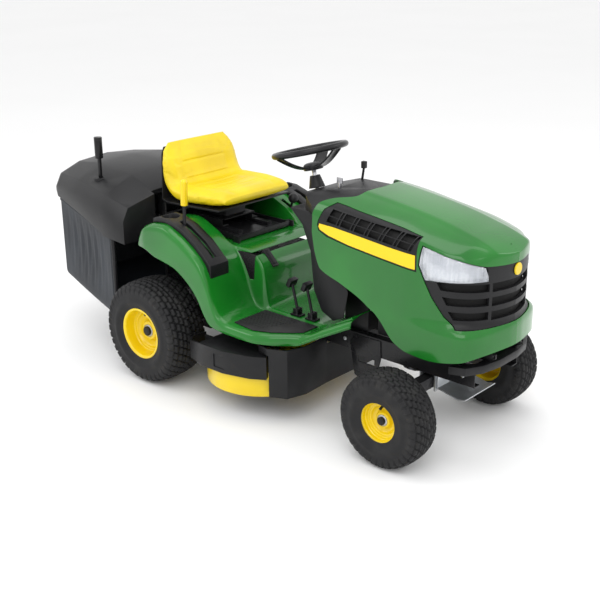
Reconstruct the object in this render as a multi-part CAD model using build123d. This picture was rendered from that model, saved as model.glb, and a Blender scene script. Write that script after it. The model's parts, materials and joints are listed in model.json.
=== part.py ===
from build123d import *
import math
import os

# Rear-collect riding lawn mower, millimetres.
# While it is modelled, X is forward from the rear axle, Y is to the driver's left
# and Z is up from the ground.  save() moves every piece so that the origin ends up
# on the ground in the middle of the overall length.

# ---- driving dimensions: running gear
wheelbase = 1255.0
nose_front = 1566.0
catcher_rear = -826.0
rear_tyre_radius = 228.0
rear_tyre_width = 212.0
rear_track_half = 388.0
front_tyre_radius = 188.0
front_tyre_width = 150.0
front_track_half = 360.0
tyre_wall = 9.0
tread_thickness = 13.0
rim_wall = 3.0
flange_lip = 12.0
rear_bead_radius = 102.0
rear_bead_half = 88.0
front_bead_radius = 77.0
front_bead_half = 54.0
rear_dish_offset = 36.0
front_dish_offset = 22.0
hub_wall = 11.0
axle_shaft_radius = 9.5
spindle_radius = 9.5
running_clearance = 0.05
body_clearance = 0.5

# ---- driving dimensions: chassis
rail_outer = 150.0
rail_width = 38.0
rail_height = 78.0
rail_bottom = 302.0
rail_wall = 4.0
rail_rear = -180.0
rail_front = 1490.0
plate_thickness = 5.0
axle_pivot_height = 250.0
axle_pivot_radius = 11.0
axle_beam_height = 46.0
axle_beam_depth = 44.0
kingpin_offset = 262.0
kingpin_radius = 10.0
kingpin_boss_radius = 19.0
kingpin_boss_height = 84.0
steer_arm_length = 84.0
steer_arm_height = 176.0
steer_arm_thickness = 9.0
tie_rod_radius = 7.0
tie_pin_radius = 6.0
engine_x = 1130.0
engine_shaft_radius = 12.7
drive_belt_height = 312.0
transaxle_half = 118.0
chute_half = 84.0
engine_sheave_radius = 50.0
drive_sheave_radius = 46.0
mower_sheave_height = 252.0
idler_radius = 15.0
idler_spread = 79.0
idler_front_x = 262.0
idler_rear_x = 60.0
belt_width = 8.0
belt_thickness = 6.0
belt_gap = 0.4
deck_sheave_radius = 62.0
deck_sheave_lift = 44.0
hitch_hole_radius = 8.5

# ---- driving dimensions: hood and nose
hood_wall = 3.5
hood_half_width = 262.0
hood_rear_centre = 950.0
hood_rear_side = 797.0
hood_bottom = 412.0
hood_hinge_x = 1534.0
hood_hinge_z = 424.0
grille_wall = 12.0

# ---- driving dimensions: fender and footrest moulding
fender_wall = 4.0
fender_half_width = 440.0
footrest_half_width = 352.0
floor_height = 345.0
saddle_height = 626.0
saddle_half_width = 205.0
fender_top = 728.0
fender_rear = -38.0
toe_board_front = 985.0
console_half_width = 52.0
console_centre = 352.0
lever_slot_width = 22.0
cup_radius = 38.0
cup_depth = 62.0

# ---- driving dimensions: seat
seat_half_width = 226.0
seat_back_top = 1016.0
seat_hinge_x = 305.0
seat_hinge_z = 632.0

# ---- driving dimensions: steering and dash
wheel_centre_x = 562.0
wheel_centre_z = 1034.0
wheel_radius = 147.0
wheel_grip_radius = 13.0
column_lean = 14.4
column_radius = 9.5
dash_half_width = 205.0

# ---- driving dimensions: mower deck
blade_radius = 235.0
blade_centre = 228.0
deck_centre_x = 505.0
deck_radius = 244.0
deck_bottom = 108.0
deck_top = 212.0
deck_wall = 3.0
deck_front = 760.0
blade_height = 122.0
blade_width = 56.0
spindle_shaft_radius = 12.0

# ---- driving dimensions: catcher
cover_wall = 4.0
bag_wall = 4.0
bag_front = -262.0
catcher_pivot_x = -180.0
catcher_pivot_z = 770.0


def save(piece, node):
    middle = (nose_front + catcher_rear) / 2
    moved = [Pos(-middle, 0, 0) * solid for solid in piece.solids()]
    export_step(moved[0] if len(moved) == 1 else Compound(moved), "parts/" + node + ".step")


def block(x_low, x_high, y_low, y_high, z_low, z_high):
    centre = Pos((x_low + x_high) / 2, (y_low + y_high) / 2, (z_low + z_high) / 2)
    return centre * Box(x_high - x_low, y_high - y_low, z_high - z_low)


def side_prism(outline, y_low, y_high, inset=0):
    # outline holds (x, z) pairs and is carried along Y
    face = Face(Wire.make_polygon([(x, z, 0) for x, z in outline], close=True))
    if inset:
        face = offset(face, amount=-inset, kind=Kind.INTERSECTION).face()
    flat = Solid.extrude(face, Vector(0, 0, y_high - y_low))
    return Pos(0, y_high, 0) * Rot(90, 0, 0) * flat


def plan_prism(outline, z_low, z_high):
    # outline holds (x, y) pairs and is carried along Z
    wire = Wire.make_polygon([(x, y, z_low) for x, y in outline], close=True)
    return Solid.extrude(Face(wire), Vector(0, 0, z_high - z_low))


def cross_prism(outline, x_low, x_high):
    # outline holds (y, z) pairs and is carried along X
    wire = Wire.make_polygon([(x_low, y, z) for y, z in outline], close=True)
    return Solid.extrude(Face(wire), Vector(x_high - x_low, 0, 0))


def rod(start, end, radius):
    run = Vector(*end) - Vector(*start)
    plane = Plane(origin=start, z_dir=run)
    low = (Align.CENTER, Align.CENTER, Align.MIN)
    return plane * Cylinder(radius, run.length, align=low)


def bent_rod(points, radius, bend):
    path = FilletPolyline(*points, radius=bend)
    return sweep(Plane(path @ 0, z_dir=path % 0) * Circle(radius), path=path)


def ring_about_y(outline, centre):
    # outline holds (radius, y) pairs, turned once about the Y line through centre
    wire = Wire.make_polygon([(r, y, 0) for r, y in outline], close=True)
    turned = Solid.revolve(Face(wire), 360, Axis.Y)
    return Pos(*centre) * turned


def other_side(piece):
    return mirror(piece, about=Plane.XZ)


def group(pieces):
    return Compound([solid for piece in pieces for solid in piece.solids()])


# ------------------------------------------------------------------ wheels

def tyre(radius, width, bead_radius, bead_half, centre):
    shoulder = width * 0.36
    middle = (radius + bead_radius) / 2 + 8
    lip = bead_radius + flange_lip + 1
    half = width / 2
    inner_half = bead_half - tyre_wall
    cavity = radius - tread_thickness
    section = Wire([
        Line((bead_radius, -bead_half), (bead_radius, -inner_half)),
        ThreePointArc((bead_radius, -inner_half), (middle, tyre_wall - half),
                      (cavity, tyre_wall - shoulder)),
        Line((cavity, tyre_wall - shoulder), (cavity, shoulder - tyre_wall)),
        ThreePointArc((cavity, shoulder - tyre_wall), (middle, half - tyre_wall),
                      (bead_radius, inner_half)),
        Line((bead_radius, inner_half), (bead_radius, bead_half)),
        Line((bead_radius, bead_half), (lip, bead_half)),
        ThreePointArc((lip, bead_half), (middle + 6, half), (radius, shoulder)),
        Line((radius, shoulder), (radius, -shoulder)),
        ThreePointArc((radius, -shoulder), (middle + 6, -half), (lip, -bead_half)),
        Line((lip, -bead_half), (bead_radius, -bead_half)),
    ])
    return Pos(*centre) * Solid.revolve(Face(section), 360, Axis.Y)


def rim(bead_radius, bead_half, dish_offset, bore_radius, side, centre):
    # side is +1 where the outer face of the wheel looks to +Y
    flange = bead_radius + flange_lip
    inner = bead_radius - rim_wall
    hub = bore_radius + hub_wall
    dish = side * dish_offset
    barrel = ring_about_y([(inner, -bead_half - rim_wall), (flange, -bead_half - rim_wall),
                           (flange, -bead_half), (bead_radius, -bead_half),
                           (bead_radius, bead_half), (flange, bead_half),
                           (flange, bead_half + rim_wall), (inner, bead_half + rim_wall)], (0, 0, 0))
    plate = ring_about_y([(hub, dish - rim_wall), (hub + 12, dish - rim_wall),
                          (inner - 14, dish + side * 14 - rim_wall), (inner, dish + side * 14 - rim_wall),
                          (inner, dish + side * 14 + rim_wall), (inner - 14, dish + side * 14 + rim_wall),
                          (hub + 12, dish + rim_wall), (hub, dish + rim_wall)], (0, 0, 0))
    tube = ring_about_y([(bore_radius, -bead_half + 4), (hub, -bead_half + 4),
                         (hub, bead_half - 20), (bore_radius, bead_half - 20)], (0, 0, 0))
    return Pos(*centre) * (barrel + plate + tube)


def rear_wheel(side, name):
    centre = (0, side * rear_track_half, rear_tyre_radius)
    save(tyre(rear_tyre_radius, rear_tyre_width, rear_bead_radius, rear_bead_half, centre),
         "rear_tyre_" + name)
    inner_end = (0, side * (transaxle_half + 1), rear_tyre_radius)
    outer_end = (0, side * (rear_track_half + rear_bead_half - 20), rear_tyre_radius)
    shaft = rod(inner_end, outer_end, axle_shaft_radius)
    wheel = rim(rear_bead_radius, rear_bead_half, rear_dish_offset, axle_shaft_radius, side, centre)
    save(group([wheel, shaft]), "rear_rim_and_shaft_" + name)


def front_wheel(side, name):
    centre = (wheelbase, side * front_track_half, front_tyre_radius)
    save(tyre(front_tyre_radius, front_tyre_width, front_bead_radius, front_bead_half, centre),
         "front_tyre_" + name)
    bore = spindle_radius + running_clearance
    save(rim(front_bead_radius, front_bead_half, front_dish_offset, bore, side, centre),
         "front_rim_" + name)


# ------------------------------------------------------------------ front axle and steering

def front_axle_beam():
    z = axle_pivot_height
    low = z - axle_beam_height / 2
    high = z + axle_beam_height / 2
    inner = kingpin_offset
    beam = block(wheelbase - axle_beam_depth / 2, wheelbase + axle_beam_depth / 2,
                 -inner, inner, low, high)
    for side in (-1, 1):
        start = (wheelbase, side * kingpin_offset, z - kingpin_boss_height / 2)
        end = (wheelbase, side * kingpin_offset, z + kingpin_boss_height / 2)
        beam += rod(start, end, kingpin_boss_radius)
        beam -= rod(start, end, kingpin_radius + running_clearance)
    pivot_bore = axle_pivot_radius + running_clearance
    beam -= rod((wheelbase - 100, 0, z), (wheelbase + 100, 0, z), pivot_bore)
    return beam


def knuckle(side):
    z = axle_pivot_height
    y = side * kingpin_offset
    foot_top = z - kingpin_boss_height / 2 - body_clearance
    kingpin = rod((wheelbase, y, foot_top - 30), (wheelbase, y, z + kingpin_boss_height / 2 + 16),
                  kingpin_radius)
    foot = block(wheelbase - 17, wheelbase + 17, y - 17, y + 17, foot_top - 42, foot_top)
    spindle_end = side * (front_track_half + front_bead_half - 22)
    spindle = rod((wheelbase, y, front_tyre_radius), (wheelbase, spindle_end, front_tyre_radius),
                  spindle_radius)
    arm = block(wheelbase - steer_arm_length - 12, wheelbase, y - 12, y + 12,
                steer_arm_height, steer_arm_height + steer_arm_thickness)
    eye = rod((wheelbase - steer_arm_length, y, steer_arm_height - 1),
              (wheelbase - steer_arm_length, y, steer_arm_height + 12),
              tie_pin_radius + running_clearance)
    return kingpin + foot + spindle + arm - eye


def tie_rod():
    x = wheelbase - steer_arm_length
    bar_z = steer_arm_height - tie_rod_radius - 6
    bar = rod((x, -kingpin_offset, bar_z), (x, kingpin_offset, bar_z), tie_rod_radius)
    for side in (-1, 1):
        y = side * kingpin_offset
        bar += rod((x, y, bar_z), (x, y, steer_arm_height + steer_arm_thickness + 8), tie_pin_radius)
        bar += rod((x, y, bar_z - 9), (x, y, steer_arm_height - body_clearance), tie_rod_radius + 4)
    return bar


def column_point(distance):
    lean = math.radians(column_lean)
    return (wheel_centre_x - distance * math.sin(-lean), 0, wheel_centre_z - distance * math.cos(lean))


def steering_wheel():
    plane = Plane(origin=column_point(0), z_dir=Vector(*column_point(0)) - Vector(*column_point(100)))
    ring = Torus(wheel_radius, wheel_grip_radius)
    hub_drop = 72.0
    hub = Pos(0, 0, -hub_drop) * Cylinder(46, 26)
    wheel = ring + hub
    for turn in (20, 160, 270):
        reach = Vector(math.cos(math.radians(turn)), math.sin(math.radians(turn)), 0)
        start = reach * 34 + Vector(0, 0, -hub_drop)
        end = reach * wheel_radius
        wheel += rod(tuple(start), tuple(end), 11)
    bore = Pos(0, 0, -hub_drop - 20) * Cylinder(column_radius, 60)
    return plane * (wheel - bore)


def steering_shaft():
    return rod(column_point(74), column_point(680), column_radius)


# ------------------------------------------------------------------ chassis

def frame_rail(side):
    outer = side * rail_outer
    inner = side * (rail_outer - rail_width)
    y_low = min(outer, inner)
    y_high = max(outer, inner)
    rail = block(rail_rear, rail_front, y_low, y_high, rail_bottom, rail_bottom + rail_height)
    web_low = min(side * (rail_outer - rail_wall), inner - side)
    web_high = max(side * (rail_outer - rail_wall), inner - side)
    hollow = block(rail_rear - 1, rail_front + 1, web_low, web_high,
                   rail_bottom + rail_wall, rail_bottom + rail_height - rail_wall)
    return rail - hollow


def mower_hanger_plate(side):
    # plate bolted to the outside of the rail behind the front wheel; it carries the deck suspension
    y = side * (rail_outer + 2.5)
    outline = [(906, 338), (930, 372), (1058, 374), (1062, 300), (1036, 196), (990, 170), (930, 200)]
    plate = side_prism(outline, y - 2.3, y + 2.5)
    plate -= rod((1000, y - 9, 214), (1000, y + 9, 214), 11)
    plate -= block(950, 1030, y - 9, y + 9, 262, 286)
    return plate


def rear_plate():
    plate = block(rail_rear - plate_thickness, rail_rear, -rail_outer, rail_outer, 250, 540)
    chute_gap = block(rail_rear - 10, rail_rear + 5, -chute_half - 0.4, chute_half + 0.4, 368, 560)
    tongue = block(rail_rear - 72, rail_rear, -36, 36, 262, 270)
    pin_hole = rod((rail_rear - 44, 0, 250), (rail_rear - 44, 0, 280), hitch_hole_radius)
    return plate - chute_gap + tongue - pin_hole


def front_crossmember():
    inner = rail_outer - rail_width - body_clearance
    x_low = wheelbase + axle_beam_depth / 2 + 8
    beam = block(x_low, x_low + 8, -inner, inner, 216, rail_bottom + rail_height)
    rear = Pos(-(axle_beam_depth + 24), 0, 0) * beam
    bridge = block(x_low - axle_beam_depth - 24, x_low + 8, -inner, inner,
                   rail_bottom + 20, rail_bottom + 28)
    bore = rod((wheelbase - 120, 0, axle_pivot_height), (wheelbase + 120, 0, axle_pivot_height),
               axle_pivot_radius)
    return beam + rear + bridge - bore


def axle_pivot_pin():
    reach = axle_beam_depth / 2 + 24
    pin = rod((wheelbase - reach, 0, axle_pivot_height), (wheelbase + reach, 0, axle_pivot_height),
              axle_pivot_radius)
    head = rod((wheelbase + reach, 0, axle_pivot_height), (wheelbase + reach + 9, 0, axle_pivot_height),
               axle_pivot_radius + 6)
    return pin + head


def front_bumper():
    # dark lip under the nose, bolted to the ends of the rails
    outline = [(1430, -236), (1490, -214), (1524, -150), (1540, -60), (1540, 60), (1524, 150), (1490, 214),
               (1430, 236), (1430, 205), (rail_front + 1, 150), (rail_front + 1, -150), (1430, -205)]
    return plan_prism(outline, 372, 402)


def hinge_brackets():
    piece = []
    for side in (-1, 1):
        y = side * 96
        ear = side_prism([(rail_front - 60, 402.2), (rail_front - 60, 412), (hood_hinge_x - 10, 434),
                          (hood_hinge_x + 8, 434), (hood_hinge_x + 8, 416), (hood_hinge_x - 20, 402.2)],
                         y - 4, y + 4)
        piece.append(ear - rod((hood_hinge_x, y - 10, hood_hinge_z), (hood_hinge_x, y + 10, hood_hinge_z),
                               5 + running_clearance))
    return group(piece)


def transaxle():
    case = block(-66, 60, -transaxle_half, transaxle_half, 158, 296)
    case += rod((0, -transaxle_half - 40, rear_tyre_radius), (0, transaxle_half + 40, rear_tyre_radius), 34)
    case += block(-150, -66, -60, 60, 190, 270)
    case -= rod((0, -400, rear_tyre_radius), (0, 400, rear_tyre_radius),
                axle_shaft_radius + running_clearance)
    case += rod((0, 0, 290), (0, 0, drive_belt_height - 10), 16)
    for side in (-1, 1):
        case += block(-50, 50, side * 123 - 22, side * 123 + 22, 280, rail_bottom - 0.3)
    return case


def sheave(x, y, radius, height):
    half = 9
    wheel = rod((x, y, height - half), (x, y, height + half), radius + 9)
    return wheel - Pos(x, y, height) * (Cylinder(radius + 30, 10) - Cylinder(radius, 12))


def transaxle_pulley():
    return sheave(0, 0, drive_sheave_radius, drive_belt_height)


def engine_pulley():
    shaft = rod((engine_x, 0, 236), (engine_x, 0, 462), engine_shaft_radius)
    drive = sheave(engine_x, 0, engine_sheave_radius, drive_belt_height)
    mower = sheave(engine_x, 0, engine_sheave_radius, mower_sheave_height)
    return shaft + drive + mower


def idlers():
    wheels = []
    for x in (idler_front_x, idler_rear_x):
        for side in (-1, 1):
            y = side * idler_spread
            wheels.append(rod((x, y, drive_belt_height - 8), (x, y, drive_belt_height + 8), idler_radius))
    return group(wheels)


def idler_brackets():
    arms = []
    for x in (idler_front_x, idler_rear_x):
        for side in (-1, 1):
            y = side * idler_spread
            reach = side * (rail_outer - rail_width - 0.2)
            arm = block(x - 12, x + 12, min(y, reach), max(y, reach),
                        drive_belt_height + 10, drive_belt_height + 14)
            arms.append(arm + rod((x, y, drive_belt_height + 8.4), (x, y, drive_belt_height + 18), 6))
    return group(arms)


def belt_face(stops, extra):
    # stops holds (x, y, radius) going round counter-clockwise; the belt lies on their outer side
    corners = []
    for first, second in zip(stops, stops[1:] + stops[:1]):
        run = Vector(second[0] - first[0], second[1] - first[1])
        ahead = run.normalized()
        outward = Vector(ahead.Y, -ahead.X)
        sine = (first[2] - second[2]) / run.length
        normal = outward * math.sqrt(1 - sine * sine) + ahead * sine
        for x, y, radius in (first, second):
            corners.append((x + normal.X * (radius + extra), y + normal.Y * (radius + extra)))
    face = make_face(Polyline(*corners, close=True))
    for x, y, radius in stops:
        face += Pos(x, y) * Circle(radius + extra)
    return face


def belt(stops, height):
    outer = extrude(belt_face(stops, belt_thickness + belt_gap), amount=belt_width)
    inner = extrude(belt_face(stops, belt_gap), amount=belt_width)
    return Pos(0, 0, height - belt_width / 2) * (outer - inner)


def drive_belt():
    stops = [(engine_x, 0, engine_sheave_radius),
             (idler_front_x, idler_spread, idler_radius), (idler_rear_x, idler_spread, idler_radius),
             (0, 0, drive_sheave_radius),
             (idler_rear_x, -idler_spread, idler_radius), (idler_front_x, -idler_spread, idler_radius)]
    return belt(stops, drive_belt_height)


def engine_block():
    case = block(1010, 1270, -108, 108, 380.4, 560)
    cylinder = block(1270, 1380, -84, 84, 430, 560)
    for step in range(6):
        x = 1276 + step * 17
        cylinder += block(x, x + 5, -92, 92, 422, 568)
    shaft_bore = rod((engine_x, 0, 370), (engine_x, 0, 463), engine_shaft_radius + running_clearance)
    return case + cylinder - shaft_bore


def engine_shroud():
    drum = rod((engine_x, 0, 560.4), (engine_x, 0, 690), 128)
    nose = block(engine_x, 1372, -96, 96, 569, 660)
    cap = rod((engine_x, 0, 690), (engine_x, 0, 722), 100)
    return drum + nose + cap


def muffler():
    can = rod((1324, -92.5, 490), (1324, -176, 490), 46)
    return can + rod((1344, -150, 460), (1400, -150, 400), 13)


def battery():
    case = block(850, 968, -118, 118, 380.4, 548)
    posts = rod((915, -60, 547), (915, -60, 562), 8) + rod((915, 60, 547), (915, 60, 562), 8)
    return case + posts


def fuel_tank():
    tank = block(196, 420, -146, 146, rail_bottom + rail_height + 0.4, 596)
    return fillet(tank.edges(), 14)


def discharge_chute():
    outer = side_prism([(268, 214), (268, 116), (226, 150), (84, 332), (-60, 380), (-238, 420),
                        (-238, 600), (-60, 520), (96, 466), (200, 300)], -chute_half, chute_half)
    wall = 3
    inner = side_prism([(280, 210), (280, 111), (228, 152), (86, 336), (-60, 383), (-250, 425),
                        (-250, 600), (-60, 516), (94, 462), (202, 292)],
                       -chute_half + wall, chute_half - wall)
    return outer - inner


def catcher_mount():
    posts = []
    for side in (-1, 1):
        y = side * 140
        upright = rod((rail_rear - 14, y, 300), (rail_rear - 14, y, catcher_pivot_z - 30), 9)
        ear = rod((catcher_pivot_x, y - 6, catcher_pivot_z), (catcher_pivot_x, y + 6, catcher_pivot_z), 14)
        ear += block(rail_rear - 22, catcher_pivot_x + 10, y - 6, y + 6,
                     catcher_pivot_z - 46, catcher_pivot_z)
        bore = rod((catcher_pivot_x, y - 20, catcher_pivot_z), (catcher_pivot_x, y + 20, catcher_pivot_z),
                   7 + running_clearance)
        posts.append(upright + ear - bore)
    bar = rod((rail_rear - 14, -140, 606), (rail_rear - 14, 140, 606), 7)
    return group([posts[0] + posts[1] + bar])


# ------------------------------------------------------------------ fender moulding and what it carries

side_top = [(fender_rear, 560), (fender_rear, 612), (-26, 668), (10, 706), (60, fender_top - 4),
            (120, fender_top), (200, 702), (280, 656), (345, 600), (384, 530), (414, 450),
            (448, 398), (500, floor_height + 38), (790, floor_height + 38),
            (toe_board_front, 474), (toe_board_front, 200), (fender_rear, 200)]
saddle_top = [(fender_rear, 560), (fender_rear, saddle_height), (330, saddle_height), (420, 606),
              (478, 553), (496, 430), (500, floor_height + 48), (790, floor_height + 48),
              (toe_board_front, 480), (toe_board_front, 200), (fender_rear, 200)]
fender_plan = [(fender_rear, fender_half_width), (620, fender_half_width), (700, 408),
               (775, footrest_half_width), (870, 302), (toe_board_front, 250)]
lower_edge = [(fender_rear - 10, 606), (0, 608), (72, 583), (192, 557), (274, 508), (326, 456),
              (372, 372), (402, 350), (481, 342), (775, 338), (864, 378), (toe_board_front + 8, 436),
              (toe_board_front + 8, 1000), (fender_rear - 10, 1000)]


def plan_outline(half, inset=0):
    face = Face(Wire.make_polygon([(x, y, 0) for x, y in half]
                                  + [(x, -y, 0) for x, y in reversed(half)], close=True))
    if inset:
        face = offset(face, amount=-inset, kind=Kind.INTERSECTION).face()
    return Solid.extrude(face, Vector(0, 0, 1200))


def fender_body():
    wall = fender_wall
    half = fender_half_width + 5
    inner_side = saddle_half_width - 5
    outer = side_prism(saddle_top, -saddle_half_width, saddle_half_width)
    inner = side_prism(saddle_top, -inner_side, inner_side, wall)
    inner += block(fender_rear + wall, toe_board_front - wall, -inner_side, inner_side, 150, 330)
    for side in (-1, 1):
        y_low = min(side * inner_side, side * half)
        y_high = max(side * inner_side, side * half)
        outer += side_prism(side_top, y_low, y_high)
        hollow_low = min(side * saddle_half_width, side * half)
        hollow_high = max(side * saddle_half_width, side * half)
        inner += side_prism(side_top, hollow_low, hollow_high, wall)
    shell = (outer & plan_outline(fender_plan)) - (inner & plan_outline(fender_plan, wall))
    shell &= side_prism(lower_edge, -half, half)
    shell -= side_prism([(-100, 500), (-100, 610), (440, 604), (440, 500)],
                        -inner_side - 20, inner_side + 20)
    shell -= block(400, toe_board_front + 9, -half, half, 200, 338)
    shell -= block(column_point(640)[0] - 30, column_point(640)[0] + 45, -20, 20, 300, 500)
    for side in (-1, 1):
        y = side * console_centre
        slot = lever_slot_width / 2
        shell -= block(150, 350, y - slot, y + slot, 560, 800)
        shell -= rod((cup_x, y, 560), (cup_x, y, 800), cup_radius + 4)
    shell -= block(172, 260, blade_lever_y - 9, blade_lever_y + 9, 560, 760)
    shell -= block(battery_gap_front, toe_board_front + 9, -122, 122, 370, 560)
    return shell


cup_x = 92.0
blade_lever_y = 244.0
battery_gap_front = 840.0


def lever_console(side):
    raised = [(40, 690), (40, 738), (70, 748), (124, 746), (206, 720), (290, 672), (356, 614),
              (378, 596), (378, 506), (340, 500)]
    y = side * console_centre
    skin = side_prism(raised, y - console_half_width, y + console_half_width)
    body = side_prism(side_top, y - 80, y + 80, -body_clearance)
    console = skin - body
    slot = lever_slot_width / 2
    console -= block(158, 350, y - slot, y + slot, 560, 800)
    cup_top = 746
    console -= rod((cup_x, y, 560), (cup_x, y, 800), cup_radius)
    cup = rod((cup_x, y, cup_top - cup_depth), (cup_x, y, cup_top - 12), cup_radius + 3)
    cup -= rod((cup_x, y, cup_top - cup_depth + 3), (cup_x, y, cup_top), cup_radius)
    return console + cup


def foot_mat(side):
    top = floor_height + 38
    outline = [(504, 216), (504, 400), (618, 412), (690, 382), (758, 330), (790, 300), (790, 216)]
    mat = plan_prism([(x, side * y) for x, y in outline], top + 0.3, top + 5)
    for rib in range(9):
        y = side * (228 + rib * 18)
        reach = 700 - rib * 8
        mat += block(506, reach, y - 4, y + 4, top + 4, top + 7)
    return mat


def fuel_window():
    plane = Plane(origin=(449, -129, 580), x_dir=(0, 1, 0), z_dir=(0.69, 0, 0.72))
    frame = plane * (Pos(0, 0, 5.2) * Box(34, 88, 9))
    glass = plane * (Pos(0, 0, 8) * Box(18, 66, 8))
    return frame - glass


def fuel_window_lens():
    plane = Plane(origin=(449, -129, 580), x_dir=(0, 1, 0), z_dir=(0.69, 0, 0.72))
    return plane * (Pos(0, 0, 8.2) * Box(17.6, 65.6, 6))


def fuel_cap():
    cap = rod((92, 254, fender_top + 0.3), (92, 254, fender_top + 20), 32)
    return cap


# ------------------------------------------------------------------ seat

def seat_base():
    # steel tray that tips forward on two hinge pins at its front edge
    front = seat_hinge_x - 4
    tray = block(-60, front, -156, 156, seat_hinge_z + 4, seat_hinge_z + 8)
    for side in (-1, 1):
        tray += block(-60, front, side * 153 - 3, side * 153 + 3, seat_hinge_z, seat_hinge_z + 22)
        tray += block(-40, 240, side * 92 - 14, side * 92 + 14, seat_hinge_z + 8, seat_hinge_z + 22)
    tray += block(front - 3, front, -156, 156, seat_hinge_z, seat_hinge_z + 22)
    tray += block(-52, -30, -120, 120, saddle_height + 0.4, seat_hinge_z + 5)
    for side in (-1, 1):
        tray -= rod((seat_hinge_x - 12, side * 130, seat_hinge_z + 9),
                    (seat_hinge_x - 12, side * 172, seat_hinge_z + 9), 5 + running_clearance)
    return tray


def seat_hinge_pins():
    pins = []
    for side in (-1, 1):
        pin = rod((seat_hinge_x - 12, side * 142, seat_hinge_z + 9),
                  (seat_hinge_x - 12, side * 172, seat_hinge_z + 9), 5)
        foot = block(seat_hinge_x - 30, seat_hinge_x + 8, side * 168 - 4, side * 168 + 4,
                     saddle_height + 0.4, seat_hinge_z + 22)
        pins.append(pin + foot)
    return group(pins)


def seat_carriage():
    # sliding channels and the sprung bracket that carry the seat pan
    low = seat_hinge_z + 22 + 0.4
    body = block(-34, 150, -74, 74, low + 26, low + 32)
    for side in (-1, 1):
        body += block(-34, 150, side * 92 - 19, side * 92 + 19, low, low + 6)
        body += block(-34, 150, side * 92 - 19, side * 92 - 15, low, low + 32)
        body += block(-34, 150, min(side * 92, side * 70), max(side * 92, side * 70), low + 26, low + 32)
    body += side_prism([(-10, low + 30), (-10, 745.4), (120, 751.6), (120, low + 30)], -60, 60)
    return body


seat_cushion_side = [(262, 768), (271, 790), (262, 822), (235, 838), (60, 820), (-20, 828),
                     (-48, 850), (-92, 996), (-104, seat_back_top), (-122, seat_back_top - 2),
                     (-136, 1000), (-106, 760), (-80, 752)]


def seat_cushion():
    body = side_prism(seat_cushion_side, -seat_half_width, seat_half_width)
    corner = cross_prism([(-seat_half_width - 5, 950), (-seat_half_width - 5, 1100),
                          (-seat_half_width + 70, 1100)], -300, 100)
    return body - corner - other_side(corner)


def seat_shell():
    pan = side_prism([(244, 758), (244, 766.6), (-80.4, 751.4), (-106.8, 759.4), (-136.6, 998),
                      (-141, 998), (-112, 753), (-88, 742)], -seat_half_width + 6, seat_half_width - 6)
    corner = cross_prism([(-seat_half_width - 5, 940), (-seat_half_width - 5, 1100),
                          (-seat_half_width + 80, 1100)], -300, 100)
    return pan - corner - other_side(corner)


# ------------------------------------------------------------------ hood, nose and dash

hood_stations = [(780, 962, 908), (952, 946, 898), (1180, 916, 862), (1300, 894, 843), (1400, 869, 815),
                 (1440, 858, 798), (1500, 836, 735), (1600, 800, 650)]
hood_rear_half = [(hood_rear_centre, 0), (930, 150), (850, 205), (hood_rear_side, hood_half_width)]
upper_nose_half = [(1230, hood_half_width), (1310, 252), (1400, 236), (1446, 216), (1484, 188),
                   (1516, 146), (1541, 84), (1552, 38), (1556, 0)]
chin_half = [(1380, hood_half_width), (1452, 256), (1490, 240), (1516, 200), (1540, 136),
             (1560, 60), (nose_front, 0)]
chin_top = 545.0
hood_edge = [(780, 1000), (780, 842), (795, 842), (797, 790), (815, 710), (843, 653), (955, 613),
             (1067, 566), (1130, 516), (1202, 441), (1262, 418), (1348, hood_bottom), (1480, 430),
             (1530, 446), (1600, 462), (1600, 1000)]
nose_opening = [(1292, 762), (1302, 834), (1440, 800), (1514, 776), (1620, 776), (1620, 545.5),
                (1449, 545.5), (1400, 584), (1350, 650), (1318, 708)]
lamp_outline = [(1294, 764), (1304, 832), (1440, 798), (1514, 774), (1524, 720), (1320, 709)]
lamp_inner = 140.0
vent_outline = [(842, 862), (856, 888), (953, 890), (1276, 836), (1282, 806), (1040, 838), (900, 858)]
stripe_outline = [(838, 856), (842, 812), (1040, 782), (1282, 742), (1286, 800), (1040, 832), (900, 850)]


def hood_plan(nose_half, inset):
    half = [(x, y) for x, y in hood_rear_half + nose_half if y > 0]
    loop = [(hood_rear_centre, 0)] + half + [(nose_half[-1][0], 0)] + [(x, -y) for x, y in reversed(half)]
    face = Face(Wire.make_polygon([(x, y, 0) for x, y in loop], close=True))
    if inset:
        face = offset(face, amount=-inset, kind=Kind.INTERSECTION).face()
    return face


def hood_block(inset):
    sections = []
    for x, ridge, shoulder in hood_stations:
        top = ridge - inset
        half = hood_half_width - inset
        ys = [(0, top), (115, top - 10), (238 - inset, shoulder - inset), (half, shoulder - 40),
              (half, 560), (half - 8, 380 - inset)]
        ring = ys + [(-y, z) for y, z in reversed(ys[1:])]
        sections.append(Wire.make_polygon([(x, y, z) for y, z in ring], close=True))
    body = Solid.make_loft(sections, ruled=True)
    upper = Pos(0, 0, chin_top - inset) * Solid.extrude(hood_plan(upper_nose_half, inset), Vector(0, 0, 700))
    chin = Solid.extrude(hood_plan(chin_half, inset), Vector(0, 0, chin_top - inset))
    return body & (upper + chin)


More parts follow.
